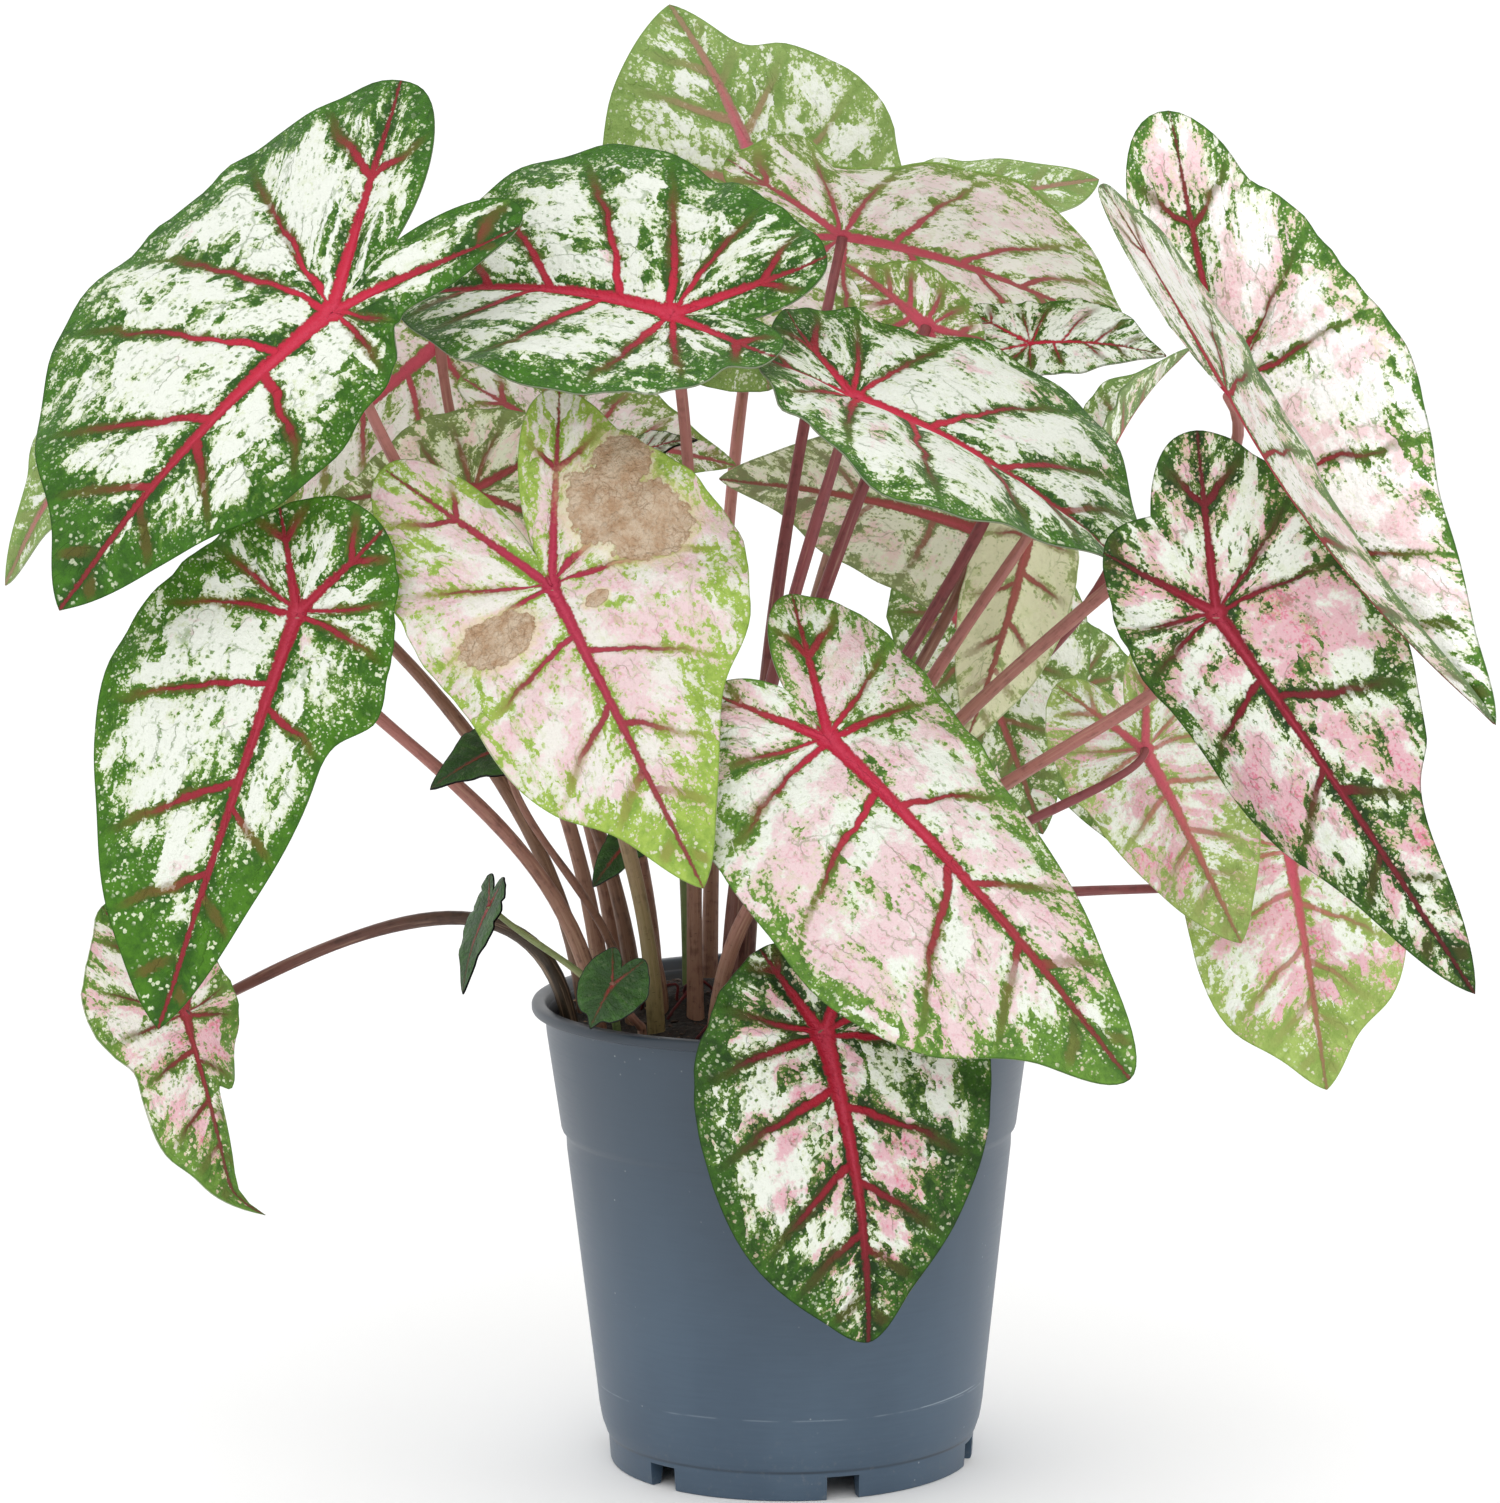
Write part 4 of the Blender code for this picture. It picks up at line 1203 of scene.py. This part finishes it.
def carve(obj: bpy.types.Object, cutter: bpy.types.Object) -> None:
    """Cuts one object out of another for good, and removes the cutter.

    Args:
        obj: The object to cut.
        cutter: The object to cut away.
    """
    cut = obj.modifiers.new("cut", "BOOLEAN")
    cut.operation = "DIFFERENCE"
    cut.object = cutter
    result = bpy.data.meshes.new_from_object(obj.evaluated_get(bpy.context.evaluated_depsgraph_get()))
    result.name = obj.data.name + "_cut"
    obj.modifiers.clear()
    obj.data = result
    bpy.data.objects.remove(cutter)


@dataclass(frozen=True)
class Mound:
    """A rise of the soil's top: its place, height and squared width, in millimetres."""

    x: float
    y: float
    height: float
    spread: float

    def rise(self, x: float, y: float) -> float:
        """Returns how much it adds to the top at a place."""
        return self.height * math.exp(-((x - self.x) ** 2 + (y - self.y) ** 2) / self.spread)


@dataclass(frozen=True)
class Soil:
    """The potting mix: a lumpy top, chips, scales, mineral grains and roots, in millimetres.

    heap is the broad rise near the pot's middle and crown the higher, steeper one on its left.
    inset is the space between the mix and the pot's wall, and reach the radius that the loose
    pieces lie in.
    """

    pot: Pot
    height: float = SOIL_HEIGHT
    heap: Mound = Mound(0.0, 8.0, 3.0, 1500.0)
    crown: Mound = Mound(-27.0, 6.0, 8.0, 260.0)
    inset: float = 0.4
    reach: float = 61.0
    chips: int = 520
    scales: int = 46
    grains: int = 60
    root_places: tuple[tuple[float, float], ...] = (
        (-33, -6), (-28, -8), (-24, -5), (-20, -30), (18, -40), (-40, 30), (30, 22),
    )
    seed: int = 11

    def lump(self, x: float, y: float) -> float:
        """Returns the top's height over its level at a place."""
        coarse = noise.noise(Vector((x / 17, y / 17, 3.1))) * 2.4
        coarse += self.heap.rise(x, y)
        coarse += self.crown.rise(x, y)
        fine = noise.noise(Vector((x / 4.5, y / 4.5, 7.7))) * 1.3
        return coarse + fine + noise.noise(Vector((x / 1.7, y / 1.7, 1.3))) * 0.5 - 1.2

    def body(self) -> bpy.types.Object:
        """Builds the soil's body to the pot's inside.

        Returns:
            Its object.
        """
        inside = self.pot.inside()
        (high_r, high_z), (low_r, low_z) = inside[:2]
        brim = self.height - 2.4
        brim_radius = low_r + (high_r - low_r) * (brim - low_z) / (high_z - low_z) - self.inset
        wall = [(radius - self.inset, z + GAP) for radius, z in inside[1:]]
        profile = [(0.0, 2 * self.pot.wall + GAP)] + wall[::-1] + [(brim_radius, brim)]
        rings = 44
        profile += [(brim_radius * (1 - i / rings), self.height) for i in range(1, rings)]
        profile += [(0.0, self.height)]
        mesh = lathe("potting_mix", profile, 150)
        for vertex in mesh.vertices:
            if vertex.co.z > (self.height - 0.1) * MM:
                vertex.co.z += self.lump(vertex.co.x / MM, vertex.co.y / MM) * MM
        mesh.shade_smooth()
        return show(mesh, self.mix_material())

    def litter(self) -> list[bpy.types.Object]:
        """Scatters bark chips, dry scales and mineral grains over the top.

        Returns:
            Their objects.
        """
        rng = random.Random(self.seed)
        made = []
        kinds = (
            ("bark_chips", self.chips, (1.2, 3.6), (0.9, 0.5, 0.28), lit(92, 62, 44), lit(40, 28, 22)),
            ("dry_scales", self.scales, (2.0, 5.5), (1.0, 0.5, 0.12), lit(176, 140, 100), lit(120, 84, 58)),
            ("mineral_grains", self.grains, (0.5, 1.3), (1.0, 0.8, 0.7), lit(222, 218, 206),
             lit(180, 172, 158)),
        )
        for name, count, sizes, shape, light, dark in kinds:
            bm = bmesh.new()
            for _ in range(count):
                radius = self.reach * math.sqrt(rng.random())
                turn = rng.uniform(0, 2 * math.pi)
                x, y = radius * math.cos(turn), radius * math.sin(turn)
                size = rng.uniform(*sizes)
                level = self.height + self.lump(x, y) + size * 0.1
                spin = Matrix.Rotation(rng.uniform(0, 6.3), 4, "Z")
                lean = Matrix.Rotation(rng.uniform(-0.6, 0.6), 4, "X")
                place = Matrix.Translation(Vector((x, y, level)) * MM) @ (spin @ lean)
                scale = Matrix.Diagonal((*(size * part * MM for part in shape), 1))
                grown = bmesh.ops.create_icosphere(bm, subdivisions=1, radius=0.5, matrix=place @ scale)
                for vert in grown["verts"]:
                    vert.co += Vector([rng.uniform(-0.12, 0.12) * size * part * MM for part in shape])
            mesh = bpy.data.meshes.new(name)
            bm.to_mesh(mesh)
            bm.free()
            made.append(show(mesh, self.crumb_material(name, light, dark)))
        return made

    def roots(self) -> bpy.types.Object:
        """Builds the few fine reddish roots that loop out of the top.

        Returns:
            Their object.
        """
        rng = random.Random(self.seed + 1)
        bm = bmesh.new()
        for x, y in self.root_places:
            heading = rng.uniform(0, 6.3)
            steps = np.linspace(0, 1, 12)
            way = np.stack([
                x + 11 * (steps - 0.5) * math.cos(heading) + 2 * np.sin(steps * 7 + x),
                y + 11 * (steps - 0.5) * math.sin(heading) + 2 * np.cos(steps * 5 + y),
                self.height + self.lump(x, y) - 2 + 8 * np.sin(steps * math.pi),
            ], -1)
            root = tube("root", way, np.full(12, 0.42), 7)
            bm.from_mesh(root)
            bpy.data.meshes.remove(root)
        mesh = bpy.data.meshes.new("surface_roots")
        bm.to_mesh(mesh)
        bm.free()
        mesh.shade_smooth()
        return show(mesh, self.crumb_material("root_skin", lit(120, 34, 36), lit(70, 20, 26)))

    def mix_material(self) -> bpy.types.Material:
        """Returns the dark damp mix."""
        g = Graph("damp_mix")
        place = g.place()
        crumbs = g.cloud(place, 2.0, 4.0, 0.7)
        specks = g.cells(place, 1.6)
        tone = g.mix(crumbs.step(-0.2, 0.3), lit(15, 12, 11), lit(54, 40, 32))
        tone = g.mix(specks.step(0.2, 0.08) * 0.5, tone, lit(120, 92, 70))
        relief = crumbs + specks * 0.5
        return g.dress(Base_Color=tone, Roughness=crumbs * 0.2 + 0.88, Normal=g.bump(relief, 1.2))

    def crumb_material(self, name: str, light: Colour, dark: Colour) -> bpy.types.Material:
        """Returns a loose piece's finish between two colours."""
        g = Graph(name + "_finish")
        place = g.place()
        streak = g.cloud(place, 1.1, 3.0, 0.6)
        tone = g.mix((streak + g.cloud(place, 6.0)).step(-0.3, 0.3), dark, light)
        return g.dress(Base_Color=tone, Roughness=streak * 0.2 + 0.75, Normal=g.bump(streak, 0.4))


@dataclass(frozen=True)
class Studio:
    """The camera at the photograph's place, soft white light and a plain pale floor."""

    place: tuple[float, float, float] = (0.0, -1.5, 0.406)
    yaw: float = -0.37
    pitch: float = 7.97
    roll: float = -0.52
    focal_pixels: float = 5572.0
    image_height: int = 1503

    def camera(self) -> bpy.types.Object:
        """Places the camera.

        Returns:
            The camera's object.
        """
        yaw, pitch, roll = (math.radians(angle) for angle in (self.yaw, self.pitch, self.roll))
        forward = Vector((math.sin(yaw) * math.cos(pitch), math.cos(yaw) * math.cos(pitch), -math.sin(pitch)))
        level = Vector((math.cos(yaw), -math.sin(yaw), 0))
        upright = level.cross(forward)
        right = level * math.cos(roll) + upright * math.sin(roll)
        up = upright * math.cos(roll) - level * math.sin(roll)
        data = bpy.data.cameras.new("camera")
        data.sensor_width = 36.0
        data.lens = self.focal_pixels * data.sensor_width / self.image_height
        obj = bpy.data.objects.new("camera", data)
        turned = Matrix((right, up, -forward)).transposed().to_4x4()
        obj.matrix_world = Matrix.Translation(self.place) @ turned
        bpy.context.scene.collection.objects.link(obj)
        bpy.context.scene.camera = obj
        return obj

    def softbox(self, name: str, place: Sequence[float], size: float, power: float) -> bpy.types.Object:
        """Places a square soft light that looks at the plant."""
        data = bpy.data.lights.new(name, "AREA")
        data.size = size
        data.energy = power
        obj = bpy.data.objects.new(name, data)
        obj.location = place
        aim = Vector((0, 0, 0.22)) - Vector(place)
        obj.rotation_euler = aim.to_track_quat("-Z", "Y").to_euler()
        bpy.context.scene.collection.objects.link(obj)
        return obj

    def floor(self) -> bpy.types.Object:
        """Lays the floor."""
        bm = bmesh.new()
        bmesh.ops.create_circle(bm, cap_ends=True, segments=96, radius=4.0)
        mesh = bpy.data.meshes.new("studio_floor")
        bm.to_mesh(mesh)
        bm.free()
        g = Graph("studio_white")
        return show(mesh, g.dress(Base_Color=(0.97, 0.97, 0.97), Roughness=0.9))

    def build(self) -> None:
        """Sets up the whole studio."""
        self.camera()
        self.softbox("key", (-0.25, -2.1, 1.9), 1.6, 12.0)
        self.softbox("fill", (1.2, -1.7, 0.9), 1.2, 3.0)
        self.floor()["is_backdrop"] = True
        world = bpy.data.worlds.new("studio")
        world.use_nodes = True
        background = world.node_tree.nodes["Background"]
        background.inputs["Color"].default_value = (1.0, 1.0, 1.0, 1.0)
        background.inputs["Strength"].default_value = 1.12
        bpy.context.scene.world = world
        bpy.context.scene.view_settings.view_transform = "Standard"


LEAVES = (
    Leaf("left_high", (-115, -75, 321), (-182, -112, 249), (-20, 38),
         (82, 62, 35, 22, 23, 55), (91, 83, 72, 63, 66, 68), 25, (-49, -6), VERDANT, Tint.PINK,
         fold=(-38, 8), curl=(25, 25), lobe_fold=(0, 8)),
    Leaf("centre_high", (-29, -52, 318), (-104, -25, 321), (5, 47),
         (73, 64, 54, 42, 38, 38), (72, 68, 60, 46, 42, 41), 23, (-25, -12), VERDANT, Tint.PINK,
         fold=(18, 18), curl=(10, 25), sway=-0.03),
    Leaf("right_middle", (19, -49, 296), (93, -64, 249), (10, 72),
         (83, 76, 64, 43, 36, 32), (80, 68, 62, 40, 34, 28), 26, (-17, -18), FRESH, Tint.WINE,
         fold=(8, 18), curl=(10, 30)),
    Leaf("right_high", (113, -82, 298), (177, -121, 218), (-35, 12),
         (90, 69, 55, 45, 54, 72), (80, 60, 46, 38, 54, 60), 24, (-2, -24), BLUSHED, Tint.PINK,
         fold=(0, 126), curl=(15, 5), sway=-0.028),
    Leaf("right_low", (110, -89, 243), (174, -111, 148), (-10, 25),
         (77, 61, 46, 37, 41, 46), (84, 64, 36, 27, 28, 34), 30, (6, -30), ROSE, Tint.PINK,
         fold=(10, -30), curl=(20, 35), lobe_fold=(10, -10)),
    Leaf("left_low", (-125, -80, 244), (-160, -108, 141), (-5, 25),
         (76, 45, 35, 26, 28, 32), (96, 75, 52, 35, 28, 29), 32, (-50, -20), LEAFY, Tint.PINK,
         fold=(-8, 10), curl=(30, 25), sway=0.01),
    Leaf("centre_lime", (-60, -74, 250), (-21, -108, 176), (-8, 28),
         (74, 57, 53, 49, 45, 49), (72, 62, 42, 39, 47, 50), 10, (-35, -24), LIME, Tint.OLIVE,
         fold=(6, 6), curl=(22, 20), wave=(2.5, 7, 40)),
    Leaf("centre_pink", (11, -92, 212), (85, -140, 133), (0, 38),
         (90, 60, 39, 36, 42, 42), (102, 90, 58, 41, 32, 31), 18, (-20, -36), PALE_ROSE, Tint.PINK,
         fold=(-10, 0), curl=(15, 35), blunt=1.0),
    Leaf("pot_front", (9, -92, 135), (20, -104, 57), (0, 4),
         (68, 57, 45, 40, 36, 34), (73, 64, 46, 33, 28, 27), 22, (-8, -44), DEEP, Tint.BROWN,
         fold=(10, 10), sway=0.04, come=(0.2, -0.95, -0.12), reach=(0.55, 0.35), blunt=0.9),
    Leaf("left_trailing", (-160, -45, 133), (-146, -60, 80), (20, 15),
         (26, 24, 19, 16, 17, 22), (47, 40, 25, 30, 32, 35), 18, (-57, -8), SHELL_PINK, Tint.DARK,
         fold=(-40, 20), curl=(0, 0), lobe_fold=(-8, 20), hook=8, blunt=0.0, come=(-0.2, -0.97, 0.05),
         reach=(0.62, 0.60)),
    Leaf("back_top", (-2, 84, 331), (-31, 88, 397), (15, 5),
         (69, 64, 53, 48, 46, 40), (57, 54, 48, 42, 38, 36), 20, (-22, 20), HAZE, Tint.PINK,
         fold=(6, 6), curl=(15, 15), sway=-0.04, wave=(3, 5, 0)),
    Leaf("back_underside", (17, 36, 334), (92, 30, 307), (170, 50),
         (74, 68, 58, 50, 50, 46), (80, 76, 56, 42, 40, 38), 20, (-12, 12), TRANSLUCENT, Tint.WINE,
         fold=(0, 0), wave=(4, 5, 0)),
    Leaf("back_right", (30, 124, 330), (93, 136, 344), (10, 60),
         (54, 42, 30, 28, 28, 28), (58, 46, 38, 36, 38, 38), 20, (-12, 30), HAZE, Tint.BROWN,
         fold=(10, 10)),
    Leaf("inner_salmon", (39, 0, 311), (17, 4, 328), (-150, 40),
         (22, 20, 18, 16, 16, 16), (22, 20, 18, 16, 16, 16), 8, (-15, -2), TRANSLUCENT, Tint.WINE,
         fold=(0, 0)),
    Leaf("inner_right", (67, 4, 306), (103, -4, 303), (10, 50),
         (31, 27, 20, 16, 18, 22), (30, 24, 17, 15, 16, 18), 12, (-5, -10), TENDER, Tint.WINE,
         fold=(10, 10)),
    Leaf("right_edgewise", (90, 40, 272), (115, 60, 301), (-60, -10),
         (32, 26, 18, 14, 14, 12), (32, 26, 18, 14, 14, 12), 6, (4, 16), PLAIN, Tint.WINE,
         fold=(50, 50), curl=(0, 0)),
    Leaf("shade_underside", (54, 28, 253), (-18, 48, 266), (180, 30),
         (62, 50, 30, 22, 18, 20), (60, 48, 34, 26, 24, 24), 12, (-3, 4), OLIVE, Tint.BROWN,
         fold=(0, 0)),
    Leaf("rolled_pale", (67, 8, 254), (49, -2, 198), (160, -10),
         (48, 34, 20, 14, 14, 14), (48, 34, 20, 14, 14, 14), 8, (4, 2), PARCHMENT, Tint.PINK,
         fold=(30, 30), curl=(60, 60)),
    Leaf("right_inner", (48, 60, 227), (73, 68, 162), (0, 30),
         (58, 48, 40, 34, 32, 30), (56, 40, 26, 20, 20, 20), 12, (-4, 24), PLAIN, Tint.PINK),
    Leaf("right_back", (82, 90, 200), (108, 96, 147), (0, 30),
         (46, 34, 24, 20, 20, 20), (48, 36, 26, 22, 20, 20), 10, (8, 28), PLAIN, Tint.PINK),
    Leaf("right_underside", (98, 5, 195), (124, 0, 142), (165, -15),
         (50, 38, 26, 24, 28, 28), (50, 40, 30, 26, 28, 28), 12, (8, -6), SUNLIT, Tint.WINE,
         girth=(2.5, 1.15), reach=(0.45, 0.16)),
    Leaf("right_bottom", (139, 25, 164), (148, 5, 100), (0, 20),
         (56, 50, 36, 29, 28, 28), (60, 54, 38, 30, 30, 30), 14, (14, 4), SUNLIT, Tint.WINE,
         fold=(5, 5), girth=(2.5, 1.2)),
    Leaf("far_left", (-179, 15, 291), (-216, 30, 240), (-30, 30),
         (44, 34, 30, 28, 30, 30), (44, 34, 28, 26, 28, 28), 12, (-54, 6), HAZE, Tint.BROWN),
    Leaf("left_back", (-94, 25, 306), (-142, 12, 260), (160, 40),
         (56, 46, 36, 30, 32, 32), (56, 46, 36, 30, 32, 32), 12, (-46, 18), TRANSLUCENT, Tint.PINK,
         come=(-0.1, 0.2, 0.97)),
    Leaf("left_inner", (-84, -6, 268), (-124, -4, 265), (0, 35),
         (32, 28, 26, 26, 28, 28), (32, 28, 26, 26, 28, 28), 12, (-41, 2), OLIVE, Tint.BROWN),
    Leaf("centre_back", (-61, 30, 279), (-13, 34, 271), (170, 30),
         (38, 32, 28, 26, 30, 32), (38, 32, 28, 26, 30, 32), 12, (-36, 14), TRANSLUCENT, Tint.PINK),
    Leaf("folded", (-41, -5, 277), (-23, -10, 282), (0, 60),
         (14, 12, 10, 9, 8, 8), (14, 12, 10, 9, 8, 8), 4, (-27, 4), TENDER, Tint.GREEN,
         girth=(1.8, 1.0), young=True),
    Leaf("green", (-74, -50, 205), (-93, -60, 195), (-10, 45),
         (18, 14, 11, 9, 9, 9), (18, 14, 11, 9, 9, 9), 4, (-42, -14), YOUNG, Tint.BROWN,
         girth=(1.8, 1.0), young=True),
    Leaf("sideways", (-79, -42, 161), (-86, -46, 138), (-60, 20),
         (18, 14, 9, 7, 8, 9), (18, 14, 9, 7, 8, 9), 4, (-44, -33), YOUNG, Tint.GREEN,
         girth=(1.4, 0.9), young=True),
    Leaf("round", (-46, -55, 142), (-52, -60, 131), (-10, 40),
         (11, 11, 10, 10, 10, 10), (11, 11, 10, 10, 10, 10), 5, (-38, -41), BUD, Tint.BROWN,
         fold=(0, 0), girth=(1.6, 1.0), young=True),
    Leaf("dark", (-43, -20, 174), (-52, -25, 163), (-10, 30),
         (12, 9, 6, 6, 6, 6), (12, 9, 6, 6, 6, 6), 3, (-33, -8), YOUNG, Tint.BROWN,
         girth=(1.6, 1.0), young=True),
)


def seat(piece: bpy.types.Object, slot: str, *nodes: str) -> None:
    """Fixes a piece to the plant's body and hides the solids that it stands for.

    Args:
        piece: The piece.
        slot: Not used.
        nodes: The solids that it stands for.
    """
    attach(piece, "root")
    if nodes:
        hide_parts(*nodes)
    LOG.info("%s: %d faces", piece.name, len(piece.data.polygons))


def main() -> None:
    """Builds the pot, the soil, every leaf and the studio."""
    logging.basicConfig(level=logging.INFO, format="%(name)s: %(message)s")
    pot = Pot()
    seat(pot.build(), "pot_plastic", "pot")
    soil = Soil(pot)
    seat(soil.body(), "soil", "soil")
    for crumbs in soil.litter():
        seat(crumbs, "soil")
    seat(soil.roots(), "soil")
    for leaf in LEAVES:
        if leaf.young:
            seat(leaf.blade(), "young_leaf", f"young_{leaf.name}")
            seat(leaf.stalk(), "young_leaf", f"young_{leaf.name}")
        else:
            seat(leaf.blade(), "blade", f"blade_{leaf.name}")
            seat(leaf.stalk(), "stalk", f"stalk_{leaf.name}")
    Studio().build()
    boxes = {"cad": CAD_BOX, "visual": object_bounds()}
    {name: [list(corner) for corner in box] for name, box in boxes.items()}


if __name__ == "__main__":
    main()
